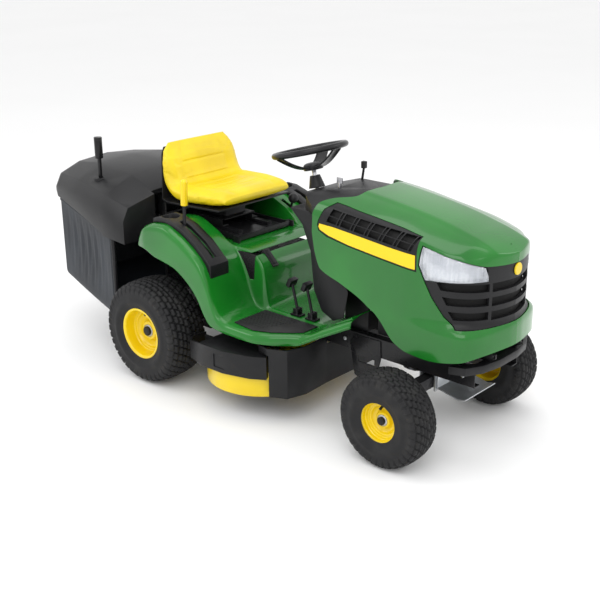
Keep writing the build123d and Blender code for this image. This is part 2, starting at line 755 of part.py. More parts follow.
def hood_parts():
    outer = hood_block(0)
    edge = side_prism(hood_edge, -300, 300)
    inner = hood_block(hood_wall)
    shell = (outer - inner) & edge
    shell -= block(700, 1000, -230, 230, 300, 860)
    rear_gap = hood_rear_half
    rear_face = [(x - 3, y) for x, y in rear_gap] + [(x + 8, y) for x, y in reversed(rear_gap)]
    rear_cut = plan_prism(rear_face, 300, 1100) + plan_prism([(x, -y) for x, y in rear_face], 300, 1100)
    shell -= rear_cut & hood_block(hood_wall)
    opening = side_prism(nose_opening, -300, 300)
    vents = side_prism(vent_outline, -300, -226) + side_prism(vent_outline, 226, 300)
    stripe_zone = side_prism(stripe_outline, -300, -226) + side_prism(stripe_outline, 226, 300)
    stripe = (outer - hood_block(0.8)) & stripe_zone
    shell = shell - opening - vents - stripe_zone
    shell += ((hood_block(0.9) - inner) & edge & stripe_zone) - vents
    for arm in hood_hinges():
        shell += arm
    liner = hood_block(1.5) - hood_block(grille_wall)
    vent_zone = side_prism(vent_outline, -300, -227, 0.5) + side_prism(vent_outline, 227, 300, 0.5)
    vent_panel = (hood_block(1.0) - hood_block(6)) & vent_zone
    for column in range(7):
        x = 893 + column * 54
        drop = 8 + column * 10
        for row in (0, 1):
            z = 876 - drop - row * 24
            vent_panel -= block(x, x + 44, -300, -230, z, z + 15)
            vent_panel -= block(x, x + 44, 230, 300, z, z + 15)
    front = liner & side_prism(nose_opening, -300, 300, 0.5)
    lamp_box = side_prism(lamp_outline, -300, -lamp_inner) + side_prism(lamp_outline, lamp_inner, 300)
    grille = front - lamp_box
    lens_zone = side_prism(lamp_outline, -300, -lamp_inner - 0.4, 0.4)
    lens = (hood_block(0.4) - hood_block(4)) & lens_zone
    bowl = (hood_block(4.4) - hood_block(grille_wall)) & lens_zone
    for level in range(4):
        z = 582 + level * 46
        grille -= block(1440, 1700, -118, 118, z, z + 30)
        grille -= block(1400 - level * 14, 1700, 136, 214, z, z + 30)
        grille -= block(1400 - level * 14, 1700, -214, -136, z, z + 30)
    return shell, stripe, vent_panel, grille, lens, bowl


def badge():
    return Pos(upper_nose_half[-1][0] - 1.2, 0, 742) * Rot(0, 90, 0) * extrude(
        RectangleRounded(44, 36, 8), amount=7)


def hood_hinges():
    arms = []
    for side in (-1, 1):
        y = side * 96
        pin = rod((hood_hinge_x, y - side * 14, hood_hinge_z), (hood_hinge_x, y + side * 14, hood_hinge_z), 5)
        lug = side_prism([(hood_hinge_x - 7, hood_hinge_z - 7), (hood_hinge_x - 7, hood_hinge_z + 60),
                          (hood_hinge_x + 40, hood_hinge_z + 60), (hood_hinge_x + 40, hood_hinge_z + 28),
                          (hood_hinge_x + 7, hood_hinge_z - 7)],
                         min(y + side * 5, y + side * 12), max(y + side * 5, y + side * 12))
        arms.append((lug & hood_block(1)) + pin)
    return arms


def dash_top():
    half = [(622, 78), (652, 122), (700, 182), (760, 224), (792, 246)]
    half += [(x - 5, y - 3) for x, y in reversed(hood_rear_half[1:3])]
    loop = half + [(hood_rear_centre - 5, 0)] + [(x, -y) for x, y in reversed(half)]
    stretched = cross_prism([(-246, 850), (-232, 886), (-115, 924), (0, 934), (115, 924), (232, 886),
                             (246, 850)], 600, 1000)
    body = stretched & plan_prism(loop, 700, 1100)
    body &= side_prism([(600, 850), (600, 880), (640, 896), (760, 922), (952, 936), (952, 850)], -300, 300)
    body -= rod(column_point(80), column_point(300), column_radius + 3)
    body -= block(throttle_x - 36, throttle_x + 12, throttle_y - 3.4, throttle_y + 3.4, 840, 1000)
    body -= rod((key_x, key_y, 840), (key_x, key_y, 1000), key_stem_radius + running_clearance)
    return body


throttle_x = 735.0
throttle_y = 120.0
key_x = 770.0
key_y = -60.0
key_stem_radius = 6.0


def dash_tower():
    outline = [(636, 849.5), (700, 790), (742, 690), (760, 530), (800, 452), (860, 424.6), (912, 447.8),
               (934, 560), (900, 640), (860, 700), (840, 849.5)]
    outer = side_prism(outline, -dash_half_width, dash_half_width)
    inner = side_prism(outline, -dash_half_width + 4, dash_half_width - 4, 4)
    inner += block(800, 960, -dash_half_width + 4, dash_half_width - 4, 400, 860)
    tower = outer - inner
    tower -= rod(column_point(80), column_point(760), column_radius + 3)
    return tower


def column_boot():
    start = Vector(*column_point(153.6))
    end = Vector(*column_point(104))
    plane = Plane(origin=start, z_dir=end - start)
    low = (Align.CENTER, Align.CENTER, Align.MIN)
    boot = plane * Cone(34, 21, (end - start).length, align=low)
    return boot - rod(column_point(80), column_point(200), column_radius + 0.4)


def throttle_lever():
    stem = side_prism([(throttle_x - 5, 890), (throttle_x + 5, 890), (throttle_x + 17, 972),
                       (throttle_x + 9, 974)], throttle_y - 3, throttle_y + 3)
    hub = rod((throttle_x, throttle_y - 3, 895), (throttle_x, throttle_y + 3, 895), 8)
    return stem + hub + block(throttle_x + 4, throttle_x + 22, throttle_y - 9, throttle_y + 9, 966, 994)


def ignition_key():
    stem = rod((key_x, key_y, 900), (key_x, key_y, 942), key_stem_radius)
    return stem + block(key_x - 14, key_x + 14, key_y - 2.5, key_y + 2.5, 940, 962)


# ------------------------------------------------------------------ mower deck

def deck_plan(radius, front, rear_half):
    body = Pos(deck_centre_x, -blade_centre) * Circle(radius)
    body += Pos(deck_centre_x, blade_centre) * Circle(radius)
    body += Pos((deck_centre_x + front) / 2, 0) * Rectangle(front - deck_centre_x, 2 * blade_centre)
    body += Pos((deck_rear + deck_centre_x) / 2, 0) * Rectangle(deck_centre_x - deck_rear, 2 * rear_half)
    return body


deck_rear = 285.0


def mower_deck():
    outer = Pos(0, 0, deck_bottom) * extrude(deck_plan(deck_radius, deck_front, chute_half + 4),
                                             amount=deck_top - deck_bottom)
    inner_plan = deck_plan(deck_radius - deck_wall, deck_front - deck_wall, chute_half + 1)
    inner = Pos(0, 0, deck_bottom - 1) * extrude(inner_plan, amount=deck_top - deck_bottom - deck_wall + 1)
    shell = outer - inner
    shell -= block(deck_rear - 2, deck_rear + 6, -chute_half - 1, chute_half + 1, 116, deck_top - deck_wall)
    for side in (-1, 1):
        y = side * blade_centre
        shell -= rod((deck_centre_x, y, 190), (deck_centre_x, y, 230), spindle_shaft_radius + 14)
    return shell


def spindle_housing(side):
    y = side * blade_centre
    low = deck_top - 40
    tower = rod((deck_centre_x, y, low), (deck_centre_x, y, deck_top + 26), spindle_shaft_radius + 14)
    tower += rod((deck_centre_x, y, deck_top), (deck_centre_x, y, deck_top + 7), 58)
    return tower - rod((deck_centre_x, y, 100), (deck_centre_x, y, 300),
                       spindle_shaft_radius + running_clearance)


def blade_set(side):
    y = side * blade_centre
    centre = (deck_centre_x, y)
    half_length = blade_radius
    turn = 0 if side > 0 else 90
    bar = Box(2 * half_length, blade_width, 5)
    for end in (-1, 1):
        tip = Pos(end * (half_length - 40), end * -blade_width * 0.42, 8) * Rot(-end * 32, 0, 0) * Box(76, 20, 4)
        bar += tip
    bar = bar & Cylinder(half_length, 60)
    shaft = rod((0, 0, -6), (0, 0, deck_top + 26 + 40 - blade_height), spindle_shaft_radius)
    bolt = rod((0, 0, -13), (0, 0, -2), 15)
    return Pos(centre[0], centre[1], blade_height) * Rot(0, 0, turn) * (bar + shaft + bolt)


def deck_pulley(side):
    y = side * blade_centre
    wheel = sheave(deck_centre_x, y, deck_sheave_radius, deck_top + deck_sheave_lift)
    return wheel - rod((deck_centre_x, y, 200), (deck_centre_x, y, 400), spindle_shaft_radius)


def timing_belt():
    stops = [(deck_centre_x, -blade_centre, deck_sheave_radius),
             (deck_centre_x, blade_centre, deck_sheave_radius)]
    return belt(stops, deck_top + deck_sheave_lift)


def deck_guard(side):
    # black cover over the outer rear edge of the deck
    plan = [(262, -346), (252, -412), (300, -462), (400, -492), (520, -492), (640, -460), (700, -424),
            (668, -372), (560, -336), (400, -320), (300, -330)]
    body = plan_prism(plan, 196, 292)
    hollow = plan_prism([(272, -336), (264, -408), (306, -456), (402, -486), (518, -486), (636, -454),
                         (688, -420), (662, -368), (560, -326), (400, -310), (296, -320)], 150, 288)
    guard = body - hollow
    shoulder = side_prism([(240, 300), (240, 262), (420, 297), (720, 297), (720, 300)], -500, -300)
    guard -= shoulder
    guard -= plan_prism([(470, -500), (470, -488), (560, -488), (560, -500)], 214, 270)
    guard += block(330, 640, -404, -396, deck_top + 0.4, 288.2)
    guard -= rod((deck_centre_x, -blade_centre, 100), (deck_centre_x, -blade_centre, deck_top + 0.4),
                 deck_radius + body_clearance)
    return guard if side < 0 else other_side(guard)


def deck_links():
    # plates that stand on the deck and slide against the inner edges of the rails
    links = []
    for side in (-1, 1):
        edge = side * (rail_outer - rail_width - 0.3)
        y_low = min(edge, edge - side * 8)
        y_high = max(edge, edge - side * 8)
        plate = block(364, 384, y_low, y_high, deck_top + 0.3, rail_bottom + rail_height - 2)
        links.append(plate + block(350, 398, y_low - 8, y_high + 8, deck_top + 0.3, deck_top + 6))
    return group(links)


def front_skirt():
    plan_outer = [(640, -404), (700, -420), (776, -384), (800, -300), (790, -160), (790, 160),
                  (800, 300), (776, 384), (700, 420), (640, 404)]
    plan_inner = [(630, -396), (698, -412), (769, -378), (793, -298), (783, -158), (783, 158),
                  (793, 298), (769, 378), (698, 412), (630, 396)]
    skirt = plan_prism(plan_outer, 122, 328) - plan_prism(plan_inner, 100, 340)
    skirt -= block(600, 706, -430, 430, 100, 300)
    skirt -= block(600, 820, -rail_outer - 10, rail_outer + 10, rail_bottom - 10, 340)
    ledge = plan_prism([(700, -380), (784, -290), (784, 290), (700, 380)], deck_top + 0.4, deck_top + 5)
    return skirt + ledge


# ------------------------------------------------------------------ levers and pedals

lift_pivot_x = 150.0
lift_pivot_z = 405.0
lift_lever_y = -262.0


def lift_lever():
    path = [(lift_pivot_x + 2, lift_lever_y, lift_pivot_z + 8), (160, lift_lever_y, 512),
            (172, -console_centre, 612), (176, -console_centre, 700), (180, -console_centre, 806)]
    stem = bent_rod(path, 7, 24)
    eye = rod((lift_pivot_x, lift_lever_y - 8, lift_pivot_z), (lift_pivot_x, lift_lever_y + 8, lift_pivot_z), 17)
    bore = rod((lift_pivot_x, lift_lever_y - 30, lift_pivot_z), (lift_pivot_x, lift_lever_y + 30, lift_pivot_z),
               9 + running_clearance)
    return stem + eye - bore


def lift_grip():
    base = Vector(180, -console_centre, 806.2)
    plane = Plane(origin=base, z_dir=(4, 0, 100))
    low = (Align.CENTER, Align.CENTER, Align.MIN)
    grip = plane * (Cylinder(15, 96, align=low) + Pos(0, 0, 96) * Sphere(15))
    return grip


def lift_shaft():
    shaft = rod((lift_pivot_x, -300, lift_pivot_z), (lift_pivot_x, -151, lift_pivot_z), 9)
    bearing = block(lift_pivot_x - 16, lift_pivot_x + 16, -156.2, -150.2, rail_bottom + 20, lift_pivot_z + 16)
    return shaft + bearing


def blade_lever():
    stem = rod((196, blade_lever_y, 600), (240, blade_lever_y, 712), 5.5)
    knob = Pos(246, blade_lever_y, 730) * Sphere(23)
    return stem + knob


def blade_lever_bracket():
    plate = block(188, 204, blade_lever_y + 8, blade_lever_y + 12, 560, 694.5)
    pin = rod((196, blade_lever_y + 6.4, 600), (196, blade_lever_y + 9, 600), 5)
    return plate + pin


def pedal(x, y, foot_z, lean, head_half):
    low = Vector(x, y, foot_z)
    top = low + Vector(-math.sin(lean) * 120, 0, math.cos(lean) * 120)
    arm = rod(tuple(low), tuple(top), 6)
    pad = Plane(origin=top, z_dir=(-math.sin(lean + 0.9), 0, math.cos(lean + 0.9))) * Box(34, 2 * head_half, 18)
    hub = rod((x, y - 9, foot_z), (x, y + 9, foot_z), 11)
    bore = rod((x, y - 20, foot_z), (x, y + 20, foot_z), 5 + running_clearance)
    return arm + pad + hub - bore


def pedal_stand(x, y, foot_z):
    reach = 16
    pin = rod((x, y - reach, foot_z), (x, y + reach, foot_z), 5)
    stand = pin
    for side in (-1, 1):
        ear = block(x - 12, x + 12, y + side * 13 - 2.5, y + side * 13 + 2.5, floor_height + 48.3, foot_z + 12)
        stand += ear
    base = block(x - 26, x + 26, y - 17, y + 17, floor_height + 48.3, floor_height + 55)
    return stand + base


pedal_height = 413.0
pedal_lean = 0.25
forward_pedal_at = (735.0, -186.0)
reverse_pedal_at = (655.0, -186.0)
brake_pedal_at = (735.0, 186.0)


# ------------------------------------------------------------------ grass catcher

cover_keep = [(-830, 690), (-300, 606), (-300, 596), (-120, 592), (-120, 1000), (-830, 1000)]


def cover_block(inset):
    sections = []
    for x, top, edge, half in [(catcher_rear, 800, 748, 266), (-760, 838, 772, 306), (-560, 862, 776, 350),
                               (-300, 856, 762, 414), (-128, 800, 735, 430)]:
        h = half - inset
        ys = [(0, top - inset), (h * 0.55, top - 14 - inset), (h - 30, edge + 14 - inset), (h, edge - 40),
              (h, 560 - inset)]
        ring = ys + [(-y, z) for y, z in reversed(ys[1:])]
        x_in = x + inset if x < -500 else (x - inset if x > -200 else x)
        sections.append(Wire.make_polygon([(x_in, y, z) for y, z in ring], close=True))
    return Solid.make_loft(sections, ruled=True)


def catcher_cover():
    shell = cover_block(0) - cover_block(cover_wall)
    shell &= side_prism(cover_keep, -460, 460)
    shell -= block(-150, -100, -248, 248, 500, 900)
    wall = side_prism([(-154, 776), (-154, 830), (-150, 830), (-150, 776)], -248, 248) & cover_block(0.1)
    for side in (-1, 1):
        wall -= block(-160, -140, side * 140 - 14, side * 140 + 14, 700, 900)
    shell += wall
    collar = rod((tip_x, tip_y, 783), (tip_x, tip_y, 812), 32)
    shell += collar - rod((tip_x, tip_y, 700), (tip_x, tip_y, 790), 30)
    shell -= rod((tip_x, tip_y, 700), (tip_x, tip_y, 900), tip_tube_radius + running_clearance)
    lugs = []
    for side in (-1, 1):
        y = side * 158
        lug = block(catcher_pivot_x - 18, catcher_pivot_x + 14, y - 6, y + 6, 636, 900) & cover_block(1)
        lug += rod((catcher_pivot_x, y - side * 28, catcher_pivot_z), (catcher_pivot_x, y, catcher_pivot_z), 7)
        lugs.append(lug)
    return shell + lugs[0] + lugs[1]


tip_x = -455.0
tip_y = -282.0
tip_tube_radius = 9.0


def tip_lever():
    tube = rod((tip_x, tip_y, 640), (tip_x, tip_y, 900), tip_tube_radius)
    return tube + rod((tip_x, tip_y, 900), (tip_x, tip_y, 996), 18)


def bag_section(x, half, low, high, inset):
    h = half - inset
    points = [(h, high), (h, low + 30 + inset), (h - 30, low + inset), (-h + 30, low + inset),
              (-h, low + 30 + inset), (-h, high)]
    return Wire.make_polygon([(x, y, z) for y, z in points], close=True)


def catcher_bag():
    stations = [(bag_front, 404, 196, 605), (-500, 358.3, 236, 642.6), (-760, 300.1, 272, 680.6)]
    outer = Solid.make_loft([bag_section(x, half, low, high, 0) for x, half, low, high in stations],
                            ruled=True)
    inner_stations = [(bag_front + 1, 404, 196, 608), (-500, 358.3, 236, 646), (-760 + bag_wall, 300.1, 272, 684)]
    inner = Solid.make_loft([bag_section(x, half, low, high, bag_wall)
                             for x, half, low, high in inner_stations], ruled=True)
    return outer - inner


def catcher_frame():
    front = bag_front + 12
    half = 396
    sides = []
    for side in (-1, 1):
        upright = rod((front, side * half, 140), (front, side * half, 640), 10)
        rail = rod((front, side * half, 640), (-770, side * 284, 716), 8)
        sides.append(upright + rail)
    cross_low = rod((front, -half, 150), (front, half, 150), 9)
    cross_high = rod((front, -half, 640), (front, half, 640), 9)
    rear = rod((-770, -284, 716), (-770, 284, 716), 8)
    carry = []
    for side in (-1, 1):
        carry.append(block(front - 6, catcher_pivot_x - 18.2, side * 158 - 3, side * 158 + 3, 632, 650))
    return sides[0] + sides[1] + cross_low + cross_high + rear + carry[0] + carry[1]


# ------------------------------------------------------------------ small pieces

def fender_pads():
    # rubber pads on the rails under the footrest floor
    pads = []
    for side in (-1, 1):
        for x in (540, 740):
            pads.append(block(x, x + 36, side * 131 - 13, side * 131 + 13, rail_bottom + rail_height + 0.3,
                              floor_height + 48 - fender_wall - 0.3))
    return group(pads)


def wiring_loom():
    lead = bent_rod([(900, -150, 690), (930, -152, 640), (948, -150, 600), (970, -146, 560),
                     (984, -100, 520), (1009.8, -100, 520)], 7, 9)
    return lead


def loom_connectors():
    first = block(930, 966, -172, -159.5, 586, 612)
    return first + block(962, 990, -168, -153.5, 548, 572) + block(950, 975, -165, -153, 565, 590)


def bolts():
    heads = []
    for side in (-1, 1):
        for x in (-120, 60, 760, 880, 1440):
            start = (x, side * (rail_outer + 0.1), rail_bottom + rail_height / 2)
            end = (x, side * (rail_outer + 6), rail_bottom + rail_height / 2)
            heads.append(rod(start, end, 8))
    return group(heads)


def axle_shield():
    start = wheelbase + axle_beam_depth / 2 + 16.3
    sheet = side_prism([(start, 226), (start + 6, 226), (start + 100, 206), (start + 134, 214),
                        (start + 134, 219), (start + 100, 211), (start + 6, 231), (start + 6, 300),
                        (start, 300)], -104, 104)
    return sheet - rod((start - 5, 0, axle_pivot_height), (start + 20, 0, axle_pivot_height),
                       axle_pivot_radius + 7)


# ------------------------------------------------------------------ write every piece

os.makedirs("parts", exist_ok=True)

rear_wheel(-1, "right")
rear_wheel(1, "left")
front_wheel(-1, "right")
front_wheel(1, "left")
save(front_axle_beam(), "front_axle_beam")
save(knuckle(-1), "steering_knuckle_right")
save(knuckle(1), "steering_knuckle_left")
save(tie_rod(), "tie_rod")
save(steering_wheel(), "steering_wheel")
save(steering_shaft(), "steering_shaft")

rails = [frame_rail(side) for side in (-1, 1)]
save(group(rails + [mower_hanger_plate(side) for side in (-1, 1)]), "frame_rails")
save(group([rear_plate(), catcher_mount()]), "rear_plate_and_catcher_mount")
save(group([front_crossmember(), axle_shield()]), "front_crossmember")
save(group([bolts(), axle_pivot_pin()]), "frame_bolts")
save(group([front_bumper(), hinge_brackets()]), "front_bumper")
save(transaxle(), "transaxle_housing")
save(transaxle_pulley(), "transaxle_pulley")
save(engine_pulley(), "engine_pulley")
save(group([drive_belt(), idler_brackets(), idlers()]), "drive_belt_and_idlers")
save(group([engine_block(), engine_shroud(), muffler()]), "engine")
save(group([battery(), wiring_loom(), loom_connectors()]), "battery_and_wiring")
save(fuel_tank(), "fuel_tank")
save(discharge_chute(), "discharge_chute")

save(fender_body(), "fender_body")
save(group([lever_console(-1), lever_console(1)]), "lever_consoles")
save(group([foot_mat(-1), foot_mat(1)]), "foot_mats")
save(group([fuel_window(), fuel_window_lens()]), "fuel_sight_window")
save(fuel_cap(), "fuel_cap")
save(seat_base(), "seat_base")
save(group([seat_carriage(), seat_shell()]), "seat_pan_and_slide")
save(seat_cushion(), "seat_cushion")

save(dash_tower(), "dash_tower")
save(group([dash_top(), column_boot()]), "dash_top")
save(throttle_lever(), "throttle_lever")
save(ignition_key(), "ignition_key")

hood, stripe, vent_panel, grille, lens, bowl = hood_parts()
save(hood, "hood")
save(group([stripe, badge()]), "hood_decals")
save(group([grille, vent_panel]), "grille_and_vents")
save(group([lens, other_side(lens), bowl, other_side(bowl)]), "headlights")

save(mower_deck(), "mower_deck")
save(group([spindle_housing(-1), spindle_housing(1), deck_links()]), "spindle_housings")
save(group([blade_set(-1), deck_pulley(-1)]), "blade_right")
save(group([blade_set(1), deck_pulley(1)]), "blade_left")
save(timing_belt(), "blade_timing_belt")
save(group([deck_guard(-1), deck_guard(1), front_skirt()]), "deck_covers")

pedals = ((forward_pedal_at, "forward_pedal"), (reverse_pedal_at, "reverse_pedal"),
          (brake_pedal_at, "brake_pedal"))
save(lift_lever(), "lift_lever")
save(lift_grip(), "lift_lever_grip")
save(blade_lever(), "blade_lever")
for at, node in pedals:
    save(pedal(at[0], at[1], pedal_height, pedal_lean, 22), node)
stands = [pedal_stand(at[0], at[1], pedal_height) for at, node in pedals]
save(group(stands + [lift_shaft(), blade_lever_bracket(), seat_hinge_pins(), fender_pads()]),
     "control_brackets")

save(catcher_cover(), "catcher_cover")
save(catcher_bag(), "catcher_bag")
save(catcher_frame(), "catcher_frame")
save(tip_lever(), "tip_lever")
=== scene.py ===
import bpy
import bmesh
import json
import math
import numpy as np
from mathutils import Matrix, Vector


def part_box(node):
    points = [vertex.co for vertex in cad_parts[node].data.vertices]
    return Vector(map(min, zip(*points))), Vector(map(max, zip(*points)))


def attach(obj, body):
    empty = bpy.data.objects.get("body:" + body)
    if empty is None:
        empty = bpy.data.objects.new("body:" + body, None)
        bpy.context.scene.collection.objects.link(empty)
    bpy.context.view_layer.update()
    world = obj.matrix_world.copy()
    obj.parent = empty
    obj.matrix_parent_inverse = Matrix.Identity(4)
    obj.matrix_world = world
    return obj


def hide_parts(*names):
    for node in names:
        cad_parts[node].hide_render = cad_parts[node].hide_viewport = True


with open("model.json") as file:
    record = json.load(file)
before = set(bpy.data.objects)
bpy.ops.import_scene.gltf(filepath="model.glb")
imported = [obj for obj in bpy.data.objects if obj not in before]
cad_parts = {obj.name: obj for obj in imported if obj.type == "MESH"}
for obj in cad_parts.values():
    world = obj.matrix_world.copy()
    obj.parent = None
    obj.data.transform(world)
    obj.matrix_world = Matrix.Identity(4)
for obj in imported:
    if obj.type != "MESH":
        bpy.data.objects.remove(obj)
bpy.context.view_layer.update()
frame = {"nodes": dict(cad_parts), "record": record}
print("frame loaded")


# places are measured from the ground below the rear axle, in metres: x forward, y to the driver's left
def middle(node):
    low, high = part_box(node)
    return (np.array(low) + np.array(high)) / 2


axleX = float(middle("rear_tyre_right")[0])
bodyOf = {node: body for body, nodes in frame["record"]["behaviour"]["bodies"].items() for node in nodes}


# ---- shader expressions
class Socket:
    def __init__(self, tree, socket):
        self.tree = tree
        self.socket = socket

    def math(self, kind, *others):
        node = self.tree.nodes.new("ShaderNodeMath")
        node.operation = kind
        for index, value in enumerate((self, *others)):
            plug(self.tree, node.inputs[index], value)
        return Socket(self.tree, node.outputs[0])

    def __add__(self, other):
        return self.math("ADD", other)

    def __radd__(self, other):
        return self.math("ADD", other)

    def __sub__(self, other):
        return self.math("SUBTRACT", other)

    def __rsub__(self, other):
        return (self * -1) + other

    def __mul__(self, other):
        return self.math("MULTIPLY", other)

    def __rmul__(self, other):
        return self.math("MULTIPLY", other)

    def step(self, low, high):
        node = self.tree.nodes.new("ShaderNodeMapRange")
        node.interpolation_type = "SMOOTHSTEP"
        plug(self.tree, node.inputs["Value"], self)
        node.inputs["From Min"].default_value = low
        node.inputs["From Max"].default_value = high
        return Socket(self.tree, node.outputs[0])


def plug(tree, entry, value):
    if isinstance(value, Socket):
        tree.links.new(value.socket, entry)
    else:
        entry.default_value = value


class Paint:
    def __init__(self, name):
        self.material = bpy.data.materials.new(name)
        self.material.use_nodes = True
        self.tree = self.material.node_tree
        self.shader = self.tree.nodes["Principled BSDF"]
        self.place = self.node("ShaderNodeTexCoord", {}, {}, "Object")

    def node(self, kind, settings, sockets, output=0):
        made = self.tree.nodes.new(kind)
        for key, value in settings.items():
            setattr(made, key, value)
        for key, value in sockets.items():
            plug(self.tree, made.inputs[key], value)
        return Socket(self.tree, made.outputs[output])

    def noise(self, scale, detail=2.0, place=None):
        return self.node("ShaderNodeTexNoise", {},
                         {"Vector": place or self.place, "Scale": scale, "Detail": detail}, "Fac")

    def cells(self, scale, feature="F1"):
        return self.node("ShaderNodeTexVoronoi", {"feature": feature},
                         {"Vector": self.place, "Scale": scale}, "Distance")

    def split(self):
        made = self.tree.nodes.new("ShaderNodeSeparateXYZ")
        plug(self.tree, made.inputs[0], self.place)
        return [Socket(self.tree, made.outputs[index]) for index in range(3)]

    def mix(self, amount, first, second):
        made = self.tree.nodes.new("ShaderNodeMix")
        made.data_type = "RGBA"
        plug(self.tree, made.inputs["Factor"], amount)
        plug(self.tree, made.inputs["A"], first)
        plug(self.tree, made.inputs["B"], second)
        return Socket(self.tree, made.outputs["Result"])

    def bump(self, height, strength, distance):
        return self.node("ShaderNodeBump", {},
                         {"Height": height, "Strength": strength, "Distance": distance}, "Normal")

    def set(self, **sockets):
        for key, value in sockets.items():
            plug(self.tree, self.shader.inputs[key.replace("_", " ")], value)
        return self.material


def color(red, green, blue):
    return (red, green, blue, 1.0)


def glossPaint(name, base, deep, roughness, coat):
    paint = Paint(name)
    cloud = paint.noise(3.0, 3.0)
    fine = paint.noise(420.0, 2.0)
    skin = paint.noise(60.0, 1.0)
    tone = paint.mix(cloud.step(0.35, 0.7), deep, base)
    return paint.set(Base_Color=tone, Roughness=fine * 0.08 + (roughness - 0.04), Coat_Weight=coat,
                     Coat_Roughness=0.06, Specular_IOR_Level=0.3, Normal=paint.bump(skin, 0.05, 0.0006))


def grainPlastic(name, base, dusty, roughness, grain=1100.0):
    paint = Paint(name)
    fine = paint.cells(grain)
    cloud = paint.noise(5.0, 4.0)
    tone = paint.mix(cloud.step(0.45, 0.75) * 0.5, base, dusty)
    return paint.set(Base_Color=tone, Roughness=cloud * 0.12 + (roughness - 0.06), Specular_IOR_Level=0.28,
                     Normal=paint.bump(fine, 0.25, 0.0006))


def metalPaint(name, base, dark, metallic, roughness):
    paint = Paint(name)
    brushed = paint.node("ShaderNodeMapping", {}, {"Vector": paint.place, "Scale": (20.0, 300.0, 300.0)})
    streak = paint.noise(3.0, 3.0, brushed)
    cloud = paint.noise(9.0, 4.0)
    tone = paint.mix(cloud.step(0.3, 0.75), dark, base)
    return paint.set(Base_Color=tone, Metallic=metallic, Roughness=streak * 0.2 + (roughness - 0.1),
                     Normal=paint.bump(streak, 0.1, 0.0003))


def tyrePaint():
    paint = Paint("tyreRubber")
    fine = paint.noise(500.0, 3.0)
    dust = paint.noise(14.0, 4.0)
    tone = paint.mix(dust.step(0.45, 0.8) * 0.5, color(0.012, 0.012, 0.013), color(0.036, 0.035, 0.033))
    return paint.set(Base_Color=tone, Roughness=fine * 0.15 + 0.5, Specular_IOR_Level=0.25,
                     Normal=paint.bump(fine, 0.25, 0.0006))


def vinylPaint():
    paint = Paint("seatVinyl")
    pores = paint.cells(420.0)
    folds = paint.noise(130.0, 4.0)
    wear = paint.noise(7.0, 3.0)
    tone = paint.mix(wear.step(0.3, 0.75), color(0.70, 0.52, 0.003), color(0.80, 0.62, 0.004))
    return paint.set(Base_Color=tone, Roughness=wear * 0.15 + 0.36,
                     Normal=paint.bump(pores * 0.6 + folds * 0.5, 0.35, 0.0009))


def clothPaint():
    paint = Paint("bagCloth")
    x, y, z = paint.split()
    pitch = 1800.0
    warp = ((x + y) * pitch).math("SINE") * (z * pitch).math("SINE")
    cloud = paint.noise(6.0, 4.0)
    tone = paint.mix(cloud.step(0.3, 0.8), color(0.012, 0.015, 0.02), color(0.03, 0.036, 0.045))
    return paint.set(Base_Color=tone, Roughness=cloud * 0.15 + 0.55, Normal=paint.bump(warp, 0.4, 0.0006))


def lensPaint():
    paint = Paint("lampLens")
    x, y, z = paint.split()
    ribs = (x * 420.0).math("SINE").step(-0.4, 0.9)
    cloud = paint.noise(12.0, 2.0)
    tone = paint.mix(cloud.step(0.35, 0.65), color(0.80, 0.83, 0.88), color(0.50, 0.53, 0.58))
    return paint.set(Base_Color=tone, Roughness=cloud * 0.06 + 0.05, Metallic=0.35, Alpha=ribs * 0.1 + 0.34,
                     Coat_Weight=1.0, Normal=paint.bump(ribs, 0.08, 0.001))


def mirrorPaint():
    paint = Paint("lampReflector")
    x, y, z = paint.split()
    ribs = (z * 520.0).math("SINE") * 0.5 + (x * 260.0).math("SINE") * 0.5
    cloud = paint.noise(30.0, 2.0)
    tone = paint.mix(cloud, color(0.9, 0.92, 0.95), color(0.62, 0.64, 0.68))
    return paint.set(Base_Color=tone, Metallic=0.85, Roughness=cloud * 0.12 + 0.12,
                     Normal=paint.bump(ribs, 0.3, 0.002))


paints = {
    "green": glossPaint("bodyGreen", color(0.008, 0.165, 0.013), color(0.005, 0.125, 0.010), 0.22, 0.45),
    "vinyl": vinylPaint(),
    "yellow": glossPaint("wheelYellow", color(0.82, 0.60, 0.004), color(0.72, 0.50, 0.004), 0.3, 0.5),
    "decal": glossPaint("stripeYellow", color(0.88, 0.64, 0.004), color(0.84, 0.58, 0.004), 0.35, 0.3),
    "black": grainPlastic("moulding", color(0.008, 0.008, 0.009), color(0.018, 0.018, 0.019), 0.4),
    "satin": grainPlastic("blackSatin", color(0.010, 0.010, 0.011), color(0.02, 0.02, 0.022), 0.28, 300.0),
    "mat": grainPlastic("floorMat", color(0.012, 0.012, 0.013), color(0.045, 0.045, 0.044), 0.62, 500.0),
    "tyre": tyrePaint(),
    "cloth": clothPaint(),
    "lens": lensPaint(),
    "mirror": mirrorPaint(),
    "steel": metalPaint("plainSteel", color(0.55, 0.55, 0.57), color(0.38, 0.38, 0.40), 1.0, 0.35),
    "zinc": metalPaint("galvanised", color(0.62, 0.64, 0.66), color(0.45, 0.47, 0.49), 0.9, 0.42),
    "iron": metalPaint("castIron", color(0.05, 0.05, 0.053), color(0.025, 0.025, 0.027), 0.5, 0.5),
    "white": grainPlastic("connectorWhite", color(0.72, 0.72, 0.70), color(0.55, 0.55, 0.53), 0.45),
    # near-black sheet material: painted shade for the dark inside seen through openings
    "paintedShade": grainPlastic("shadedBack", color(0.004, 0.004, 0.004), color(0.008, 0.008, 0.008), 0.7),
    "belt": grainPlastic("beltRubber", color(0.02, 0.02, 0.02), color(0.05, 0.05, 0.05), 0.7),
}
print("materials made")


